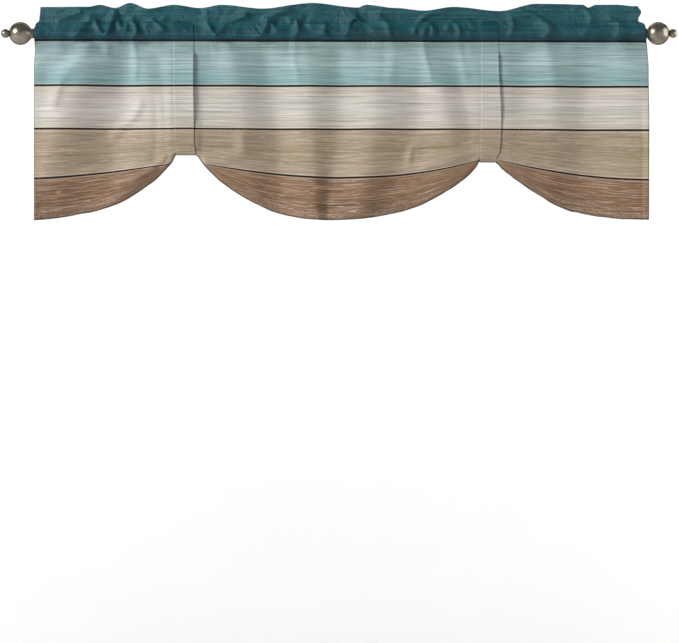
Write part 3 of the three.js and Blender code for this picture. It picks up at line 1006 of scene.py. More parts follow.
@dataclass
class Cloth:
    """Shape of the hanging cloth as functions of the place across and the height.

    Attributes:
        layer: How far each of two sewn layers lies from their middle.
        thickness: Thickness of the panel's cloth.
        gather: Flat width over hung width.
        fold_heights: The three heights that the folds' numbers are given for.
        fold_start: Length below the pocket over which the folds grow.
        roll_lengths: Length of the rolled edge at a low point and at a strap.
        slack: Lift of the lower edge that the straps' puckers take up.
        pleats: Lengths below the pocket over which its pleats grow and die away.
        wide_crease: Height and width of the soft crease under each one of the heading.
        calm: Where the heading's creases start to weaken, over what length and how much.
        gap_heights: Heights of the three level gaps of the print.
        gaps_down: Distance down the print of the gaps under the first.
        foot_down: Full height of the lowest band, and the share of it always drawn.
        sagging: Place across, and how far the lower line lies over its curve there.
        side_edges: Height, left edge and right edge.
        heading: Place across, height of the frill's top edge, and its lean to the front.
    """

    left: float = -650.5
    right: float = 660.0
    hem_z: float = -398.0
    heading_seam_z: float = 25.0
    pocket_seam_z: float = -16.0
    pocket_turning_z: float = -22.0
    pocket_radius: float = 11.1
    pocket_end_flare: float = 2.4
    pocket_end_length: float = 28.0
    layer: float = 0.75
    thickness: float = 0.9
    gather: float = 1.047
    fold_heights: Triple = (-25.0, -157.0, -356.0)
    fold_start: float = 34.0
    round_share: float = 0.74
    end_power: float = 6.0
    roll_lengths: Pair = (18.0, 40.0)
    tail_length: float = 8.0
    tail_lean: float = 0.13
    slack: float = 30.0
    pleats: Pair = (12.0, 34.0)
    wide_crease: Pair = (0.5, 2.5)
    calm: Triple = (20.0, 100.0, 0.15)
    least_turn: float = 0.02
    halvings: int = 30
    bulge_depth: float = 9.0
    bulge_height: float = 68.0
    edge_fade: float = 45.0
    strap_sides: tuple[Pair, ...] = ((-361.6, -298.5), (296.2, 353.0))
    crease_fade: float = 14.0
    print_tilt: float = 0.0024
    gap_heights: Triple = (-15.7, -112.4, -205.0)
    gaps_down: Triple = (95.6, 188.5, 293.0)
    foot_down: Pair = (90.0, 0.75)
    least_foot: float = 4.0
    swags: tuple[HalfSwag, ...] = (
        HalfSwag(-649.5, -352, -256.7, 0.12, -309.8, 31.5, 1.35),
        HalfSwag(-10, -302, -256.7, 0.0, -308.3, 31.0, 1.65),
        HalfSwag(-10, 298, -269.1, 0.0, -308.3, 37.0, 2.4),
        HalfSwag(660, 339.5, -269.1, -0.18, -312.5, 41.0, 1.8),
    )
    sagging: tuple[Pair, ...] = (
        (-650, -1.0), (-560, 0.0), (-520, -3.0), (-470, -5.0), (-420, -4.0), (-385, -7.5),
        (-366, -9.2), (-358, -11.0), (-354, -8.5), (-348.5, -2.1), (-308, -2.1),
        (-302, -6.5), (-297, -7.4), (-262, -4.6), (-240, -2.4), (-215, -1.4), (-170, -1.9),
        (-148, -4.0), (-85, -2.8), (-40, -1.5), (0, -0.5), (95, -1.2), (145, -3.3),
        (172, -4.0), (200, -3.0), (225, -3.2), (250, -5.6), (280, -9.0), (292, -9.0),
        (299.5, -4.6), (331, -5.0), (339.5, -10.5), (345, -11.8), (352, -9.9), (366, -6.2),
        (390, -2.8), (430, -1.6), (455, -4.8), (492, -4.8), (512, -1.8), (545, -0.2),
        (575, 1.6), (610, 1.4), (650, 0.4),
    )
    folds: tuple[Fold, ...] = Fold.rows(
        (-650, -650, -650, 1, 1, 4),
        (-524, -585, -633, 14.4, 12.4, 1),
        (-451, -468, -512, -8.4, -18.5, -13),
        (-427, -396, -420, 0.4, -0.6, -0.3),
        (-394, -378, -384, -4.5, 2, 5),
        (-358, -358, -356, 4, 6, 12),
        (-310, -309, -304, 4, 6, 12),
        (-278, -290, -285, 1.5, 3.5, 5),
        (-234, -214, -193, 11.7, 7, 3.6),
        (-158, -139, -134, -5.3, -9.2, -4.2),
        (-67, -62, -52, 9, 7.9, 12),
        (7, 0, -22, -8.7, -3.5, -1),
        (87, 81, 52, -4.3, 14.8, 14.8),
        (160, 165, 108, 2.5, 3.9, 0.7),
        (178, 224, 241, -1, 16.5, 4.2),
        (227, 275, 280, -5.1, 4.2, 10.5),
        (298, 298, 296, 4, 6, 12),
        (349, 349, 341, 4, 6, 12),
        (391, 397, 379, -2.2, 0, 13),
        (456, 452, 435, 9.4, 4.6, 1.4),
        (531, 528, 515, -3.5, -14.8, -11.5),
        (616, 640, 643, 13.1, 1.4, 0),
        (659, 659, 659, 1, 3, 3),
    )
    side_edges: tuple[Triple, ...] = (
        (-400, -652.5, 661), (-200, -652.5, 661.5), (-70, -652.5, 660), (-35, -650.5, 657.5),
        (-14, -651.5, 655.5), (0, -654.5, 655.5), (20, -649, 652), (27, -641.5, 636.5),
        (46, -639.5, 644.5), (58, -639, 637),
    )
    heading: tuple[Triple, ...] = (
        (-640, 56.5, -3), (-537, 56.6, 4), (-512, 61, 0), (-480, 54.5, -6), (-447, 65, 1),
        (-409, 52.5, 7), (-354, 61, 0), (-298, 54.5, -6), (-251, 61, 1), (-165, 52.5, 7),
        (-59, 65, -1), (38, 55.5, -6), (57, 61, 0), (118, 54, 5), (180, 48, 9), (245, 56.5, 0),
        (342, 48, -6), (420, 63, 1), (471, 62.5, 1), (520, 61, 0), (531, 55, -4), (547, 61, 0),
        (590, 61, 1), (633, 58, 1),
    )
    heading_creases: tuple[Crease, ...] = Crease.rows(
        (5.2, 4.9, -601, 27, -580, 37, -554, 46),
        (7.4, 5.3, -533, 29, -546, 18, -569, -12),
        (5.7, 3.8, -522, 27, -514, 10, -505, -5),
        (9.1, 3.8, -480, 46, -486, 29, -492, 12, -497, -5),
        (5.2, 3.8, -473, 25, -467, 10, -456, 10, -452, 22, -441, 25),
        (7.0, 3.8, -441, 25, -435, 16, -433, 1, -441, -12),
        (5.7, 4.1, -413, 20, -398, 26, -386, 18, -377, 10),
        (3.9, 4.1, -362, 42, -377, 29),
        (7.0, 3.8, -285, 44, -300, 29, -307, 14),
        (6.1, 4.1, -285, 25, -270, 1, -264, -7),
        (6.5, 4.9, -264, -7, -242, 20, -200, 40),
        (5.7, 6.6, -157, 29, -136, 42, -110, 50),
        (7.8, 4.1, -153, 27, -159, 12, -166, -3, -178, -10),
        (4.3, 3.8, -144, 20, -134, 7, -119, 18, -106, 25),
        (7.4, 3.9, -106, 26, -91, 25, -89, 3, -97, -10),
        (4.3, 3.8, -80, 35, -91, 25),
        (4.8, 4.5, -63, 18, -31, 18, -33, 1),
        (7.8, 4.1, 33, 35, 22, 25, 20, 10, 10, -10),
        (4.3, 3.8, 33, 35, 44, 25, 31, 12),
        (7.0, 6.1, 87, 35, 104, 18, 108, -10),
        (5.7, 4.1, 174, 29, 163, 14, 159, 1),
        (6.5, 3.8, 178, -10, 180, 5, 191, 20, 200, 10, 198, -7),
        (4.8, 5.3, 180, 35, 198, 44, 221, 46),
        (6.5, 3.9, 230, 12, 240, 22, 251, 20, 257, 3, 253, -12),
        (4.8, 3.8, 262, 18, 277, 25, 290, 12),
        (6.5, 4.1, 362, 35, 371, 18, 366, 3, 358, -12),
        (5.2, 5.7, 356, 30, 380, 38, 407, 41, 443, 22),
        (7.0, 4.9, 430, 25, 447, 18, 447, 3, 437, -12),
        (6.5, 5.3, 529, 48, 537, 33, 535, 16, 522, -1),
        (6.5, 4.5, 580, 29, 593, 25, 599, 10, 593, -12),
    )
    face_creases: tuple[Crease, ...] = Crease.rows(
        (4.6, 11.0, -528, -22, -558, -58, -594, -98, -610, -150),
        (-2.6, 9.0, -556, -22, -588, -56, -626, -92),
        (2.8, 8.0, -588, -22, -612, -38, -640, -60),
        (2.4, 6.0, -494, -20, -497, -38),
        (3.5, 7.0, -440, -20, -434, -60, -436, -95),
        (4.6, 9.0, -426, -150, -440, -178, -462, -200, -482, -216),
        (9.0, 7.0, -468, -324, -443, -315, -418, -301, -398, -287),
        (4.0, 6.0, -390, -279, -372, -266),
        (-13.0, 11.0, -462, -362, -436, -345, -408, -324, -382, -303),
        (4.6, 13.0, -208, -225, -205, -248, -216, -262, -245, -270, -290, -270),
        (-1.4, 15.0, -172, -225, -170, -262, -190, -288, -240, -294),
        (3.6, 7.0, 148, -272, 152, -253, 159, -241, 177, -235, 236, -234, 296, -232),
        (-2.4, 8.0, 176, -262, 184, -250, 240, -248, 296, -246),
        (2.6, 6.0, 180, -285, 236, -268, 284, -254),
        (2.2, 7.0, 352, -262, 420, -284, 500, -300),
        (2.6, 7.0, 354, -240, 410, -236, 450, -226),
        (1.6, 9.0, -264, -20, -268, -46),
        (2.6, 8.0, -94, -20, -98, -60, -88, -96),
        (2.6, 12.0, 112, -30, 114, -58, 108, -100),
        (3.0, 7.0, 178, -20, 184, -56, 196, -96),
        (2.4, 8.0, 254, -20, 262, -58, 270, -100),
        (2.0, 12.0, 440, -24, 452, -64, 462, -110),
    )

    def swag(self, x: Array) -> dict[str, Array]:
        """Numbers of the half swag that each x lies in.

        A place between two half swags belongs to the nearer one. Its share runs from 0 at
        the low point to 1 at the strap.

        Args:
            x: Places across.

        Returns:
            Arrays of the swag's numbers and the share.
        """
        ends = np.array([sorted((swag.low_x, swag.strap_x)) for swag in self.swags])
        away = [np.maximum(np.maximum(low - x, x - high), 0.0) for low, high in ends]
        chosen = np.argmin(np.stack(away), axis=0)
        found = {
            name: np.array([getattr(swag, name) for swag in self.swags], float)[chosen]
            for name in vars(self.swags[0])
        }
        share = (x - found["low_x"]) / (found["strap_x"] - found["low_x"])
        found["share"] = np.clip(share, 0.0, 1.0)
        return found

    def rise(self, x: Array) -> Array:
        """Part of the rise reached: 0.74*s^2 + 0.26*s^6 + bow*s*(1 - s)^2.

        Args:
            x: Places across.

        Returns:
            0 at a low point and 1 at a strap.
        """
        swag = self.swag(x)
        share = swag["share"]
        curve = self.round_share * share ** 2 + (1 - self.round_share) * share ** self.end_power
        return np.maximum(curve + swag["bow"] * share * (1 - share) ** 2, 0.0)

    def low_line(self, x: Array) -> Array:
        """Height of the lowest line: the swags' curves plus the sagging of the real cloth."""
        curve = mix(self.hem_z, self.swag(x)["strap_z"], self.rise(x))
        return curve + read(self.sagging, x)[0]

    def under_strap(self, x: Array, fade: float = 22.0) -> Array:
        """1 across a strap, falling to 0 on both sides of it.

        Args:
            x: Places across.
            fade: Length over which it falls.

        Returns:
            How much of a strap is at each place.
        """
        nearness = [
            eased(1.0 - np.maximum(np.maximum(low - x, x - high), 0.0) / fade)
            for low, high in self.strap_sides
        ]
        return np.maximum(*nearness)

    def over_heights(self, values: Triple, z: Array) -> Array:
        """Parabola through a value at each of the three fold heights.

        Args:
            values: Values at the top, the middle and the hem.
            z: Heights.

        Returns:
            The parabola's values.
        """
        top, mid, hem = self.fold_heights
        return (
            values[0] * (z - mid) * (z - hem) / ((top - mid) * (top - hem))
            + values[1] * (z - top) * (z - hem) / ((mid - top) * (mid - hem))
            + values[2] * (z - top) * (z - mid) / ((hem - top) * (hem - mid))
        )

    def creasing(self, creases: Sequence[Crease], x: Array, z: Array) -> Array:
        """How far the creases stand out together at each place."""
        return sum(crease.depth(x, z) for crease in creases)

    def face_out(self, x: Array, z: Array) -> Array:
        """How far the face stands out: folds, bulge, pleats, wrinkles and creases.

        The bulge over a lifted edge is bulge_depth * s^4 * sin(pi*h)^2, with s the swag's
        share and h the share of bulge_height over the strap's turn.

        Args:
            x: Places across.
            z: Heights below the pocket.

        Returns:
            Distance towards the viewer.
        """
        places = [self.over_heights(fold.places, z) for fold in self.folds]
        outs = [self.over_heights(fold.outs, z) for fold in self.folds]
        folds = follow(places, outs, x)
        below = eased((self.pocket_seam_z - z) / self.fold_start)
        swag = self.swag(x)
        inside = np.clip((z - swag["strap_z"]) / self.bulge_height, 0.0, 1.0)
        bulge = self.bulge_depth * swag["share"] ** 4 * np.sin(math.pi * inside) ** 2
        free = 1.0 - self.under_strap(x)
        small = (self.drawn_up(x, z) + self.wrinkles(x, z) * below) * free
        return self.layer + folds * below + bulge + small + self.flow(x, z)

    def gathers(self, x: Array, side: float) -> tuple[Array, Array]:
        """Two sines of unlike length along the rod; side is -1 in front and 1 behind it."""
        return np.sin(x / 8.3 + side * 1.7), np.sin(x / 13.1 + side * 0.6)

    def drawn_up(self, x: Array, z: Array) -> Array:
        """Small pleats of the gathers below the pocket, dying away as exp(-depth / length).

        Args:
            x: Places across.
            z: Heights.

        Returns:
            How far they stand out.
        """
        first, second = self.gathers(x, -1.0)
        depth = self.pocket_seam_z - z
        start, reach = self.pleats
        pleats = (0.9 * first + 0.8 * second) * eased(depth / start)
        return pleats * np.exp(-depth / reach) * 1.5

    def crumple(self, x: Array, z: Array) -> Array:
        """Crisp small puckers of the heading: (1 - |sin a|)^2 along two slanting drifts.

        Args:
            x: Places across.
            z: Heights.

        Returns:
            How far they stand out.
        """
        first = x / 15.0 + z / 17.0 + 1.3 * np.sin(z / 13.0 + x / 47.0)
        second = x / 19.0 - z / 12.0 + 1.1 * np.sin(x / 31.0 + z / 23.0)
        share = 0.5 + 0.5 * np.sin(x / 61.0 + 1.0)
        ridges = [(1.0 - abs(np.sin(phase))) ** 2 for phase in (first, second)]
        return 1.6 * ridges[0] * share + 1.6 * ridges[1] * (1.0 - share)

    def heading_relief(self, x: Array, z: Array) -> Array:
        """Creases and puckers of the heading together, none across a strap.

        Args:
            x: Places across.
            z: Heights.

        Returns:
            How far they stand out.
        """
        height, width = self.wide_crease
        wide = [
            Crease(height * crease.height, width * crease.width, crease.points)
            for crease in self.heading_creases
        ]
        creases = self.creasing(self.heading_creases, x, z) + self.creasing(wide, x, z)
        creases = creases + self.crumple(x, z)
        start, length, share = self.calm
        strength = 1.0 - share * eased((x - start) / length)
        return creases * strength * (1.0 - self.under_strap(x))

    def wrinkles(self, x: Array, z: Array) -> Array:
        """Faint unevenness: six slanting sines whose phase drifts by 1.4*sin(x/130 + z/90).

        Args:
            x: Places across.
            z: Heights.

        Returns:
            A height of about half a millimetre either way.
        """
        waves = (
            (41.0, 170.0, 0.4, 0.30), (57.0, -210.0, 2.1, 0.34), (23.0, 95.0, 4.0, 0.16),
            (31.0, -120.0, 1.2, 0.20), (88.0, 64.0, 5.5, 0.30), (17.0, 240.0, 3.3, 0.10),
        )
        drift = 1.4 * np.sin(x / 130.0 + z / 90.0)
        return sum(
            size * np.sin(x / across + z / down + phase + drift)
            for across, down, phase, size in waves
        )

    def face_y(self, x: Array, z: Array) -> Array:
        """Depth of the face, towards -Y."""
        return -self.face_out(x, z)

    def pucker(self, x: Array, side: float) -> Array:
        """Puckers of the pocket, only away from the rod, and its flare at the ends.

        The puckers are 0.9*(1 + first) + 0.6*(1 + second) of the gathers' two sines.

        Args:
            x: Places across.
            side: -1 at the front and 1 at the back.

        Returns:
            What is added to the pocket's radius.
        """
        first, second = self.gathers(x, side)
        waves = 0.9 * (1 + first) + 0.6 * (1 + second)
        at_end = np.maximum(
            eased(1 - (x - self.left) / self.pocket_end_length),
            eased(1 - (self.right - x) / self.pocket_end_length),
        )
        free = (1 - self.under_strap(x)) * (1 - at_end)
        return waves * free + self.pocket_end_flare * at_end

    def pocket(self, x: Array, side: float, shares: Array) -> tuple[Array, Array]:
        """Pocket layer on one side of the rod: an arc between tangents from the seams.

        Args:
            x: Places across.
            side: -1 at the front and 1 at the back.
            shares: 0 at the top of the arc and 1 at its foot, one row each.

        Returns:
            Depths and heights, a row for each share.
        """
        radius = self.pocket_radius + self.pucker(x, side)
        up = np.arccos(np.minimum(radius / self.heading_seam_z, 1.0))
        down = math.pi - np.arccos(np.minimum(radius / -self.pocket_seam_z, 1.0))
        angle = mix(up, down, shares[:, None])
        return side * radius * np.sin(angle), radius * np.cos(angle)

    def heading_top(self, x: Array) -> Array:
        """Height of the frill's top edge."""
        return read(self.heading, x)[0]

    def heading_y(self, x: Array, share: Array) -> Array:
        """Depth of the frill: its lean and a ruffle 1.3*sin(x/11.3), times share^1.5.

        Args:
            x: Places across.
            share: 0 at the seam and 1 at the top.

        Returns:
            Depths.
        """
        lean = read(self.heading, x)[1]
        ruffle = 1.3 * np.sin(x / 11.3) * (1 - self.under_strap(x))
        return -(lean + ruffle) * share ** 1.5

    def turn(self, spare: Array, roll: Array) -> tuple[Array, Array]:
        """Turning angle whose roll and tail take up the cloth to spare, by halving.

        Args:
            spare: Cloth length to take up.
            roll: Length of the roll.

        Returns:
            The angle, and the length still over at half a turn.
        """
        def taken(angle: Array) -> Array:
            """Length taken up by a roll and tail turned by an angle."""
            tail = self.tail_length
            small = roll * (1 - np.sin(angle) / angle) + tail * (1 - np.cos(angle))
            large = roll * (1 - 1 / angle) + tail
            return np.where(angle < math.pi / 2, small, large)

        low = np.full_like(spare, self.least_turn)
        high = np.full_like(spare, math.pi)
        for _ in range(self.halvings):
            middle = (low + high) / 2
            under = taken(middle) < spare
            low = np.where(under, middle, low)
            high = np.where(under, high, middle)
        return high, np.maximum(spare - taken(np.full_like(spare, math.pi)), 0.0)

    def lower_edge(self, x: Array) -> dict[str, Array]:
        """Where the face starts to turn, and the roll and tail behind it.

        The cloth to spare is the lower line's lift less slack*rise^1.5.

        Args:
            x: Places across.

        Returns:
            Arrays of the roll's angle and radius, the tail's length and the turn's place.
        """
        near = self.rise(x)
        roll = mix(*self.roll_lengths, near)
        spare = np.maximum(self.low_line(x) - self.hem_z - self.slack * near ** 1.5, 0.0)
        angle, over = self.turn(spare, roll)
        radius = roll / angle
        tail = self.tail_length + over
        open_drop = radius * np.sin(angle) + tail * np.cos(angle)
        drop = np.where(angle < math.pi / 2, open_drop, radius)
        turn_z = self.low_line(x) + drop
        return {
            "x": x, "angle": angle, "radius": radius, "tail": tail, "roll": roll,
            "turn_z": turn_z, "turn_y": self.face_y(x, turn_z),
        }

    def roll_points(self, edge: dict[str, Array], shares: Array) -> tuple[Array, Array]:
        """Points of the roll: an arc that starts straight down from the face.

        Args:
            edge: The lower edge's numbers.
            shares: 0 at the face and 1 at the roll's end, one row each.

        Returns:
            Depths and heights.
        """
        angle = edge["angle"] * shares[:, None]
        z = edge["turn_z"] - edge["radius"] * np.sin(angle)
        flow = self.flow(edge["x"], z) - self.flow(edge["x"], edge["turn_z"])
        y = edge["turn_y"] + edge["radius"] * (1 - np.cos(angle))
        return y - flow * np.maximum(np.cos(angle), 0.0), z

    def flow(self, x: Array, z: Array) -> Array:
        """Creases of the face, none across a strap."""
        creases = self.creasing(self.face_creases, x, z)
        return creases * (1.0 - self.under_strap(x, self.crease_fade))

    def tail_points(self, x: Array, edge: dict[str, Array], shares: Array) -> tuple[Array, Array]:
        """Points of the tail: straight on from the roll, then along the folds in front.

        Args:
            x: Places across.
            edge: The lower edge's numbers.
            shares: 0 at the roll and 1 at the cut edge, one row each.

        Returns:
            Depths and heights.
        """
        end_y, end_z = self.roll_points(edge, np.array([1.0]))
        length = edge["tail"] * shares[:, None]
        z = end_z - length * np.cos(edge["angle"])
        upright = eased((edge["angle"] - math.pi / 2) / (math.pi / 2))
        with_face = self.face_y(x, z) - edge["turn_y"] - self.tail_lean * length
        return end_y + length * np.sin(edge["angle"]) + upright * with_face, z

    def print_down(self, x: Array, z: Array) -> Array:
        """Distance down the print at a place on the face.

        Straight between the gaps: 0 at the first, then the values of gaps_down, of which
        the last lies on the curved lowest gap. Below it the print is drawn out or together
        so that the grain bends with the lower line.

        Args:
            x: Places across.
            z: Heights.

        Returns:
            Millimetres down from the first gap.
        """
        swag = self.swag(x)
        gap = swag["gap_z"] + swag["gap_rise"] * swag["share"] ** swag["gap_power"]
        low = self.low_line(x)
        height = np.maximum(gap - low, self.least_foot)
        full, share = self.foot_down
        shown = np.minimum(mix(height, full, share), full)
        level = z + self.print_tilt * x
        first, second, third = self.gap_heights
        to_cream, to_tan, to_brown = self.gaps_down
        upper = to_cream * (first - level) / (first - second)
        cream = mix(to_cream, to_tan, (second - level) / (second - third))
        foot = gap + self.print_tilt * x
        tan = mix(to_tan, to_brown, (third - level) / (third - foot))
        brown = to_brown + shown * (gap - z) / height
        down = np.where(level > second, upper, np.where(level > third, cream, tan))
        return np.where(z < gap, brown, down)

    def to_edge(self, x: Array, z: Array) -> Array:
        """Move points near the side edges onto the edges' own curves.

        Args:
            x: Places across.
            z: Heights.

        Returns:
            The moved places.
        """
        left, right = read(self.side_edges, z)
        near_left = eased(1 - (x - self.left) / self.edge_fade)
        near_right = eased(1 - (self.right - x) / self.edge_fade)
        return x + (left - self.left) * near_left + (right - self.right) * near_right


@dataclass
class Valance:
    """The printed panel, cut from one width of cloth.

    Attributes:
        seam_shares: Places between the heading seam and the round of the pocket.
        crowding: How much closer the face's rows lie at the lower edge.
        hidden_rim: Distance up from the lower fold that the roll's back is given.
        least_rim: Least such distance on the face.
        steep_slope: Slope of the lower edge from which its stitches fade.
        flat: Flat size in metres.
    """

    cloth: Cloth
    finish: PrintedCloth
    name: str = "valance_cloth"
    replaces: str = "valance_panel"
    slot: str = "printed_cloth"
    columns: int = 426
    turned_rows: int = 6
    frill_rows: int = 5
    front_rows: int = 14
    seam_shares: tuple[float, ...] = (0.14, 0.34, 0.56, 0.78)
    face_rows: int = 52
    crowding: float = 0.55
    roll_rows: int = 11
    tail_shares: tuple[float, ...] = (0.25, 0.5, 0.75, 1.0)
    hidden_rim: float = -5.0
    least_rim: float = 2.0
    steep_slope: float = 0.35
    flat: Pair = (1.372, 0.56)

    def heading(self, x: Array) -> list[tuple[Array, Array, Array]]:
        """Stretches of the section from the pocket's turned edge to its front seam.

        The creases weaken to 0.75 at the frill's foot, and on the pocket to 0.7 over the
        last 6 mm to the upper seam and to 0.3 over the last 5 mm to the lower one.

        Args:
            x: Places across.

        Returns:
            Depths, heights and distances down the print of each stretch.
        """
        cloth = self.cloth
        level = np.ones_like(x)
        top = cloth.heading_top(x)

        def over_top(z: Array) -> Array:
            """Distance down the print behind the heading's top fold, below zero."""
            return cloth.print_down(x, 2.0 * top - z)

        turning = np.array([cloth.pocket_turning_z, cloth.pocket_seam_z])[:, None] * level
        back_y, back_z = cloth.pocket(x, 1.0, np.linspace(1.0, 0.0, self.turned_rows))
        rise = even(self.frill_rows)[:, None]
        frill_z = mix(cloth.heading_seam_z, top - cloth.layer, rise)
        frill_crease = cloth.heading_relief(x, frill_z)
        frill_y = cloth.heading_y(x, rise) - frill_crease * rise ** 3
        bend = np.radians([45.0, 90.0, 135.0])[:, None]
        tip_y = cloth.heading_y(x, 1.0) - frill_crease[-1]
        fold_y = tip_y + cloth.layer * np.cos(bend)
        fold_z = top - cloth.layer + cloth.layer * np.sin(bend)
        front = np.linspace(1.0, 0.0, self.front_rows)[:, None]
        front_z = mix(cloth.heading_seam_z, top - cloth.layer, front)
        front_y = cloth.heading_y(x, front) - cloth.layer
        at_seam = mix(0.75, 1.0, eased(front * 4.0))
        front_y = front_y - cloth.heading_relief(x, front_z) * at_seam
        pocket_y, pocket_z = cloth.pocket(x, -1.0, even(self.front_rows))
        slant = np.array(self.seam_shares)[:, None]
        pocket_y = np.concatenate([mix(-cloth.layer, pocket_y[0], slant), pocket_y])
        pocket_z = np.concatenate([mix(cloth.heading_seam_z, pocket_z[0], slant), pocket_z])
        pinch = eased((cloth.heading_seam_z - pocket_z) / 6.0)
        foot = eased((pocket_z - cloth.pocket_seam_z) / 5.0)
        relief = cloth.heading_relief(x, pocket_z)
        pocket_y = pocket_y - relief * (0.7 + 0.3 * pinch) * (0.3 + 0.7 * foot)
        seam_z = cloth.pocket_seam_z * level[None]
        return [
            (cloth.layer * np.ones_like(turning), turning, over_top(turning)),
            (back_y, back_z, over_top(back_z)),
            (frill_y + cloth.layer, frill_z, over_top(frill_z)),
            (fold_y, fold_z, cloth.print_down(x, np.broadcast_to(top, fold_z.shape))),
            (front_y, front_z, cloth.print_down(x, front_z)),
            (pocket_y, pocket_z, cloth.print_down(x, pocket_z)),
            (-cloth.layer * level[None], seam_z, cloth.print_down(x, seam_z)),
        ]

    def hanging(self, x: Array) -> list[tuple[Array, Array, Array]]:
        """Stretches of the section below the pocket: the face, the roll and the tail.

        Args:
            x: Places across.

        Returns:
            Depths, heights and distances down the print of each stretch.
        """
        cloth = self.cloth
        edge = cloth.lower_edge(x)
        rows = even(self.face_rows + 2)[1:-1]
        share = (rows + self.crowding * rows * (1.0 - rows))[:, None]
        face_z = mix(cloth.pocket_seam_z, edge["turn_z"], share)
        round_share = even(self.roll_rows)
        tail_share = np.array(self.tail_shares)
        roll_y, roll_z = cloth.roll_points(edge, round_share)
        tail_y, tail_z = cloth.tail_points(x, edge, tail_share)
        turn_down = cloth.print_down(x, edge["turn_z"])
        rolled = round_share[:, None] * edge["roll"]
        facing = roll_z >= cloth.low_line(x) - 0.01
        sinking = edge["angle"] * round_share[:, None] < math.pi / 2
        seen = cloth.print_down(x, roll_z)
        at_foot = np.max(np.where(facing & sinking, seen, turn_down), axis=0)
        roll_down = np.where(sinking, seen, at_foot + rolled - edge["radius"] * math.pi / 2)
        lengths = tail_share[:, None] * edge["tail"]
        straight = edge["angle"] < math.pi / 2
        tail_down = np.where(straight, cloth.print_down(x, tail_z), roll_down[-1] + lengths)
        return [
            (cloth.face_y(x, face_z), face_z, cloth.print_down(x, face_z)),
            (roll_y, roll_z, roll_down),
            (tail_y, tail_z, tail_down),
        ]

    def sheet(self) -> SheetMesh:
        """Grid of the panel with its print, edges and seams.

        The distance up from the lower fold is hidden_rim behind the roll and at least
        least_rim on the face, so that no painted shade line of the fold reaches them.

        Returns:
            The sheet.
        """
        cloth = self.cloth
        x = np.linspace(cloth.left, cloth.right, self.columns)
        y, z, down = map(np.concatenate, zip(*self.heading(x), *self.hanging(x)))
        edge = cloth.lower_edge(x)
        steps = np.hypot(np.diff(y, axis=0), np.diff(z, axis=0))
        to_cut = np.concatenate([np.cumsum(steps[::-1], axis=0)[::-1], np.zeros((1, len(x)))])
        shares = np.concatenate([even(self.roll_rows), np.ones(len(self.tail_shares))])
        behind = edge["angle"] * shares[:, None] > math.pi / 2
        turn = len(z) - len(shares)
        turned = np.full(y.shape, FAR)
        turned[turn:] = np.where(behind, to_cut[turn:], FAR)
        low = cloth.low_line(x)
        slope = np.gradient(low, x)
        rim = (z - low) / np.sqrt(1.0 + slope ** 2)
        rim[turn:] = np.where(behind, self.hidden_rim, rim[turn:])
        rim[:turn] = np.maximum(rim[:turn], self.least_rim)
        rim[:turn - self.face_rows] = FAR
        steep = eased((abs(slope) - self.steep_slope) / self.steep_slope)
        places = cloth.to_edge(np.broadcast_to(x, z.shape), z)
        seam = np.minimum(abs(z - cloth.heading_seam_z), abs(z - cloth.pocket_seam_z))
        across = np.broadcast_to((x - cloth.left) * cloth.gather, z.shape)
        width = (cloth.right - cloth.left) * cloth.gather
        side = np.minimum(across, width - across)
        return SheetMesh(
            rows=np.stack([places, y, z], axis=-1),
            thickness=cloth.thickness,
            cloth=np.stack([across, down], axis=-1) * METRE,
            edges=np.stack([side, rim], axis=-1) * METRE,
            numbers={
                "hem": turned * METRE,
                "seam": seam * METRE,
                "steep": np.broadcast_to(steep, z.shape),
            },
        )

    def build(self) -> Piece:
        """Returns:
            The panel.
        """
        piece = self.sheet().build(self.name, self.finish.material())
        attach(piece, ROOT)
        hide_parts(self.replaces)
        return piece


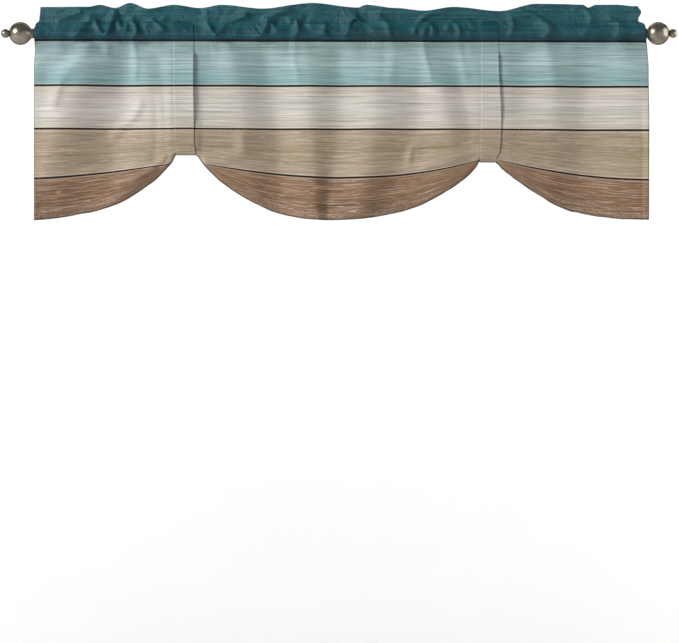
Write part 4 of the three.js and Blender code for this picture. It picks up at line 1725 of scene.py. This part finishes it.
@dataclass
class Strap:
    """One strap: caught in the heading seam, down the face, under the cloth and up the back.

    Attributes:
        edges: Height, left edge and right edge down the front.
        stand_off: How far its right edge stands off the face.
        sewn_foot: Height from which down it grows from its sewn to its full thickness.
        stand_off_foot: Height from which up its right edge stands off.
        rounding: Power that keeps its thickness even up to its sides.
        gap: Air between it and the panel.
        lit_edge: How much farther in its lit left edge counts for the painted shade line, so
            that the painted shadow line lies along its right edge.
        plain_side: How much farther in both edges count where it is sewn in, which keeps the
            painted shade line off there.
        flat: Flat size in metres.
    """

    cloth: Cloth
    finish: Material
    name: str
    replaces: str
    edges: tuple[Triple, ...]
    stand_off: float
    slot: str = "strap_cloth"
    thickness: float = 1.1
    sewn_thickness: float = 0.35
    sewn_foot: float = -37.0
    free_length: float = 10.0
    stand_off_foot: float = -215.0
    stand_off_length: float = 60.0
    belly: float = 0.5
    belly_length: float = 23.0
    rounding: int = 10
    least_rounding: float = 0.05
    gap: float = 0.15
    lit_edge: float = 1.6
    plain_side: float = 20.0
    columns: int = 17
    pocket_rows: int = 12
    face_rows: int = 60
    roll_rows: int = 22
    tail_rows: int = 13
    climb_rows: int = 22
    back_rows: int = 10
    flat: Pair = (0.046, 0.64)

    def path(self, x: float) -> tuple[Array, Array, int]:
        """Line that the strap lies on, in the section at x.

        Args:
            x: Middle of the strap.

        Returns:
            Depths, heights and the number of points before the roll.
        """
        cloth = self.cloth
        at = np.array([x])
        edge = cloth.lower_edge(at)
        layer, heading, seam = cloth.layer, cloth.heading_seam_z, cloth.pocket_seam_z
        face_z = mix(seam, edge["turn_z"], even(self.face_rows + 2)[1:-1, None])
        tail_y, tail_z = cloth.tail_points(at, edge, even(self.tail_rows + 1)[1:])
        climb = even(self.climb_rows + 2)[1:-1, None]
        climb_y = mix(tail_y[-1], layer, climb)
        climb_z = mix(tail_z[-1], cloth.pocket_turning_z, climb)
        line = [
            ([[-layer]], [[heading]]),
            cloth.pocket(at, -1.0, even(self.pocket_rows)),
            ([[-layer]], [[seam]]),
            (cloth.face_y(at, face_z), face_z),
            cloth.roll_points(edge, even(self.roll_rows)),
            (tail_y, tail_z),
            (climb_y, climb_z),
            ([[layer], [layer]], [[cloth.pocket_turning_z], [seam]]),
            cloth.pocket(at, 1.0, np.linspace(1.0, 0.0, self.back_rows)),
            ([[layer]], [[heading]]),
        ]
        y, z = (
            np.concatenate([np.asarray(part, float)[:, 0] for part in parts])
            for parts in zip(*line)
        )
        return y, z, 1 + self.pocket_rows + 1 + self.face_rows

    def build(self) -> Piece:
        """It is thin where it is sewn in, and full from sewn_foot down. Its right edge stands
        off the face, and its middle bellies out by belly*sin(pi*s)*|sin(z/belly_length)|.
        Its thickness is rounded off at the sides by the root of 1 - |2*s - 1|^rounding.

        Returns:
            The strap.
        """
        cloth = self.cloth
        heights, lefts, rights = (np.array(part, float) for part in zip(*self.edges))
        middle = (lefts[0] + rights[0]) / 2
        y, z, face_rows = self.path(middle)
        length = np.concatenate([[0.0], np.cumsum(np.hypot(np.diff(y), np.diff(z)))])
        tangent = np.stack([np.gradient(y, length), np.gradient(z, length)])
        tangent = tangent / np.linalg.norm(tangent, axis=0)
        on_face = np.arange(len(z)) < face_rows
        free = np.where(on_face, eased((self.sewn_foot - z) / self.free_length), 1.0)
        thick = mix(self.sewn_thickness, self.thickness, free)
        seat = (cloth.thickness + thick) / 2 + self.gap
        y_out = y + tangent[1] * seat
        z_out = z - tangent[0] * seat
        y_out[[0, -1]] = y[[0, -1]]
        at = np.where(on_face, z, heights[0])
        left = np.interp(at, heights, lefts)[:, None]
        right = np.interp(at, heights, rights)[:, None]
        share = even(self.columns)
        x = mix(left, right, share)
        high = free * eased((z - self.stand_off_foot) / self.stand_off_length) * on_face
        lift = self.stand_off * share ** 2 * high[:, None]
        swell = np.sin(z_out / self.belly_length)[:, None] * on_face[:, None]
        belly = self.belly * np.sin(math.pi * share) * swell
        facing = cloth.print_down(np.full(len(z), middle), z)
        down = np.where(on_face, facing, facing[face_rows] + length - length[face_rows])
        lowest = face_rows + int(np.argmin(z[face_rows:face_rows + self.roll_rows]))
        rim = np.where(np.arange(len(z)) <= lowest, z - z[lowest], FAR)
        # Distance in from the sides for the painted shade line: the lit left edge counts farther
        # in, so the painted shadow lies along the right edge.
        side = np.minimum(x - left + self.lit_edge, right - x)
        side = side + self.plain_side * (1.0 - free[:, None])
        round_off = 1.0 - np.abs(2.0 * share - 1.0) ** self.rounding
        z_out, down, rim = (np.broadcast_to(row[:, None], x.shape) for row in (z_out, down, rim))
        sheet = SheetMesh(
            rows=np.stack([x, y_out[:, None] - lift - np.abs(belly), z_out], axis=-1),
            thickness=thick[:, None] * np.sqrt(np.maximum(round_off, self.least_rounding)),
            cloth=np.stack([(x - cloth.left) * cloth.gather, down], axis=-1) * METRE,
            edges=np.stack([side, rim], axis=-1) * METRE,
            numbers={
                "hem": np.full(x.shape, FAR * METRE),
                "seam": np.full(x.shape, FAR * METRE),
                "steep": np.ones(x.shape),
            },
        )
        piece = sheet.build(self.name, self.finish)
        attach(piece, ROOT)
        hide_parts(self.replaces)
        return piece


# Rod -----------------------------------------------------------------------------------


class End(Enum):
    """Which end of the rod a finial closes, as the sign of X."""

    LEFT = -1
    RIGHT = 1


@dataclass
class Finial:
    """Turned finial: a beaded neck, a ball, a link and an end knob.

    Attributes:
        centre: Middle of the ball along the rod.
        start: Where the neck starts.
        bead: Radius of the neck's two round beads, at the bead_places.
        groove: Depth and length of the neck's small steps.
        link: Radius where the ball and the knob meet.
        steps: Points of a bead's, the ball's and the knob's outline.
    """

    end: End
    finish: Material
    centre: float
    start: float = 650.1
    ball: float = 24.5
    neck: float = 10.9
    neck_length: float = 7.2
    bead: float = 1.2
    bead_places: Pair = (1.9, 5.0)
    groove: float = 0.4
    chamfer: float = 0.5
    link: float = 5.6
    knob: float = 9.6
    tip_angle: float = 174.0
    steps: tuple[int, int, int] = (9, 56, 24)
    sides: int = 96

    def profile(self) -> Array:
        """Outline from the neck's end face to the tip of the knob.

        Two half-round beads stand on the neck, and a cone runs from it to the ball. The
        ball and the knob are arcs (centre - r*cos a, r*sin a) that meet at the link.

        Returns:
            Rows of distance along and radius, from the middle of the rod.
        """
        def arc(middle: float, radius: float, start: float, stop: float, steps: int) -> Array:
            """Points of a round outline between two angles in radians."""
            angle = np.linspace(start, stop, steps)
            return np.stack([middle - radius * np.cos(angle), radius * np.sin(angle)], axis=1)

        base = self.neck - self.bead
        bead_steps, ball_steps, knob_steps = self.steps
        beads = [
            np.array([0.0, base]) + arc(self.start + place, self.bead, 0.0, math.pi, bead_steps)
            for place in self.bead_places
        ]
        between = self.start + sum(self.bead_places) / 2
        shoulder = self.centre - self.start - self.neck_length
        reach = math.hypot(shoulder, base)
        touch = math.atan2(base, shoulder) + math.acos(self.ball / reach)
        link_angle = math.asin(self.link / self.ball)
        knob_angle = math.asin(self.link / self.knob)
        middle = self.ball * math.cos(link_angle) + self.knob * math.cos(knob_angle) + 0.1
        tip = math.radians(self.tip_angle)
        return np.concatenate([
            [[self.start, 0.0], [self.start, base - self.chamfer]],
            [[self.start + self.groove, base]],
            beads[0],
            [[between, base - self.groove]],
            beads[1],
            [[self.start + self.neck_length, base]],
            arc(self.centre, self.ball, touch, math.pi - link_angle, ball_steps),
            arc(self.centre + middle, self.knob, knob_angle, tip, knob_steps),
            [[self.centre + middle + self.knob, 0.0]],
        ])

    def build(self) -> Piece:
        """Make the finial in place of its CAD node.

        Returns:
            The finial.
        """
        profile = self.profile()
        profile[:, 0] = self.end.value * profile[:, 0]
        if self.end is End.LEFT:
            profile = profile[::-1]
        name = f"finial_{self.end.name.lower()}"
        piece = turned(f"{name}_turned", profile, self.sides, self.finish)
        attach(piece, ROOT)
        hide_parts(name)
        return piece


@dataclass
class Rod:
    """The plain rod, which keeps its CAD node."""

    finish: Material
    name: str = "rod"

    def dress(self) -> Piece:
        """Give the CAD node its metal.

        Returns:
            The node.
        """
        node = bpy.data.objects[self.name]
        if not node.material_slots:
            node.data.materials.append(self.finish)
        for entry in node.material_slots:
            entry.material = self.finish
        return node


# Studio --------------------------------------------------------------------------------


@dataclass
class Softbox:
    """One soft area light, which the camera does not see but the metal does."""

    name: str
    place: Triple
    target: Triple
    size: Pair
    power: float

    def build(self) -> Piece:
        """Make the light, turned towards its target.

        Returns:
            The light.
        """
        lamp = bpy.data.lights.new(self.name, "AREA")
        lamp.shape = "RECTANGLE"
        lamp.size, lamp.size_y = self.size
        lamp.energy = self.power
        light = linked(self.name, lamp)
        light.location = self.place
        aim = Vector(self.target) - Vector(self.place)
        light.rotation_euler = aim.to_track_quat("-Z", "Y").to_euler()
        light.visible_camera = False
        return light


@dataclass
class Studio:
    """Camera, backdrop and soft lights; its lengths are metres.

    Attributes:
        view_width: Width of the view at the rod.
        distance: How far the camera stands from the rod.
        eye_height: Height of the camera over the rod.
        floor: Height of the floor.
        sweep: Radius of the sweep between the floor and the wall.
        steps: Points along a side of the floor's grid.
    """

    view_width: float = 1.4503
    distance: float = 11.0
    eye_height: float = -0.6152
    floor: float = -2.1
    floor_radius: float = 12.1
    sweep: float = 1.5
    wall_height: float = 3.6
    steps: int = 97
    sensor: float = 36.0
    view_depth: float = 100.0
    surround_tint: Colour = (0.84, 0.83, 0.82)
    surround_strength: float = 0.22
    boxes: tuple[Softbox, ...] = (
        Softbox("key_light", (-7.0, -4.3, 2.9), (0.0, 0.0, -0.15), (1.5, 1.5), 630.0),
        Softbox("fill_light", (2.6, -4.0, 0.4), (0.1, 0.0, -0.2), (3.6, 3.6), 6.0),
        Softbox("finial_light", (1.25, -0.05, 0.08), (0.68, 0.0, 0.0), (0.6, 0.6), 2.8),
        Softbox("back_light", (-1.5, 6.0, 3.6), (0.0, 0.0, -0.15), (2.0, 2.0), 260.0),
        Softbox("rim_light_left", (-3.2, 1.9, -0.1), (-0.6, 0.0, 0.0), (1.2, 3.0), 14.0),
        Softbox("rim_light_right", (3.2, 1.9, -0.1), (0.6, 0.0, 0.0), (1.2, 3.0), 14.0),
        Softbox("rim_light_top", (0.0, 2.2, 3.0), (0.0, 0.0, 0.0), (5.0, 1.2), 18.0),
        Softbox("wall_light_left", (-8.0, 0.3, 1.2), (-13.6, 0.0, -0.3), (2.5, 2.5), 110.0),
        Softbox("wall_light_right", (8.0, 0.3, 1.2), (13.6, 0.0, -0.3), (2.5, 2.5), 110.0),
        Softbox("backdrop_light_left", (-4.5, 9.5, 1.5), (-0.6, 13.6, -0.9), (2.0, 2.0), 205.0),
        Softbox("backdrop_light_right", (4.5, 9.5, 1.5), (0.6, 13.6, -0.9), (2.0, 2.0), 205.0),
    )

    def backdrop(self, finish: Material) -> Piece:
        """Round floor that sweeps up all round into a low wall.

        A square grid is drawn into a disc, (u*sqrt(1 - v*v/2), v*sqrt(1 - u*u/2)). The way
        from its middle runs flat, then a quarter round, then upright.

        Args:
            finish: The paint.

        Returns:
            The backdrop.
        """
        side = np.linspace(-1.0, 1.0, self.steps)
        u, v = np.meshgrid(side, side)
        a, b = u * np.sqrt(1.0 - v * v / 2.0), v * np.sqrt(1.0 - u * u / 2.0)
        share = np.maximum(np.hypot(a, b), 1e-6)
        quarter = self.sweep * math.pi / 2.0
        way = share * (self.floor_radius + quarter + self.wall_height)
        turn = np.clip((way - self.floor_radius) / self.sweep, 0.0, math.pi / 2.0)
        out = np.minimum(way, self.floor_radius) + self.sweep * np.sin(turn)
        up = np.maximum(way - self.floor_radius - quarter, 0.0)
        z = self.floor + self.sweep * (1.0 - np.cos(turn)) + up
        points = np.stack([a * out / share, b * out / share, z], axis=-1).reshape(-1, 3) / METRE
        index = np.arange(self.steps ** 2).reshape(self.steps, self.steps)
        squares = [index[:-1, :-1], index[:-1, 1:], index[1:, 1:], index[1:, :-1]]
        faces = np.stack(squares, axis=-1).reshape(-1, 4)
        piece = new_object("studio_backdrop", points, faces, finish)
        return piece

    def camera(self) -> Piece:
        """Level camera straight in front, framing the photograph's width at the rod.

        Returns:
            The camera.
        """
        lens = bpy.data.cameras.new("front_camera")
        lens.sensor_width = self.sensor
        lens.lens = self.sensor * self.distance / self.view_width
        lens.clip_end = self.view_depth
        view = linked("front_camera", lens)
        view.location = (0.0, -self.distance, self.eye_height)
        view.rotation_euler = (math.pi / 2, 0.0, 0.0)
        bpy.context.scene.camera = view
        return view

    def build(self, finish: Material) -> None:
        """Make the camera, the backdrop, the lights and a dim grey surround.

        Args:
            finish: Paint of the backdrop.
        """
        self.camera()
        self.backdrop(finish)
        for box in self.boxes:
            box.build()
        world = bpy.data.worlds.new("studio_surround")
        world.use_nodes = True
        surround = world.node_tree.nodes["Background"]
        surround.inputs["Color"].default_value = (*self.surround_tint, 1.0)
        surround.inputs["Strength"].default_value = self.surround_strength
        bpy.context.scene.world = world
        bpy.context.scene.view_settings.view_transform = "Standard"
        bpy.context.scene.view_settings.look = "None"


# Each strap: height, left edge and right edge from its foot to the heading seam.
LEFT_STRAP_EDGES = (
    (-259, -347.5, -306.5), (-240, -351, -308.5), (-110, -355.2, -310.5), (25, -355.6, -310),
)
RIGHT_STRAP_EDGES = (
    (-270, 300, 337.5), (-250, 300, 343.8), (-206, 301, 347.1), (-160, 302, 346.8),
    (-125, 302, 344.8), (-90, 302, 342.2), (-50, 302, 341.0), (25, 302.2, 341),
)
# Middle of each finial's ball along the rod.
BALL_CENTRES = ((End.LEFT, 681.6), (End.RIGHT, 680.4))


def main() -> None:
    """Build every piece in order and report it."""
    logging.basicConfig(level=logging.INFO, format="%(name)s: %(message)s")
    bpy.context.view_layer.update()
    studio = Studio()
    studio.build(PalePaint().material())
    cloth = Cloth()
    printed = PrintedCloth(
        "printed_polyester", side_stitch=0.0115, rim_stitch=0.0200, hem_tint=0.05, edge_shade=0.8
    )
    # The straps' painted shade lines stand for their shadow along the right edge and under the
    # foot.
    narrow = PrintedCloth(
        "strap_polyester", side_stitch=0.0042, rim_stitch=0.0180, hem_tint=0.0,
        edge_shade=0.75, foot_shade=0.4,
    )
    nickel = SatinNickel().material()
    valance = Valance(cloth, printed).build()
    LOG.info("%s: %d faces", valance.name, len(valance.data.polygons))
    strap_finish = narrow.material()
    for side, edges, stand_off in (
        ("left", LEFT_STRAP_EDGES, 4.6),
        ("right", RIGHT_STRAP_EDGES, 2.8),
    ):
        node = f"tie_strap_{side}"
        piece = Strap(cloth, strap_finish, f"{node}_cloth", node, edges, stand_off).build()
        LOG.info("%s: %d faces", piece.name, len(piece.data.polygons))
    LOG.info("%s keeps its node", Rod(nickel).dress().name)
    for end, centre in BALL_CENTRES:
        piece = Finial(end, nickel, centre).build()
        LOG.info("%s: %d faces", piece.name, len(piece.data.polygons))


if __name__ == "__main__":
    main()
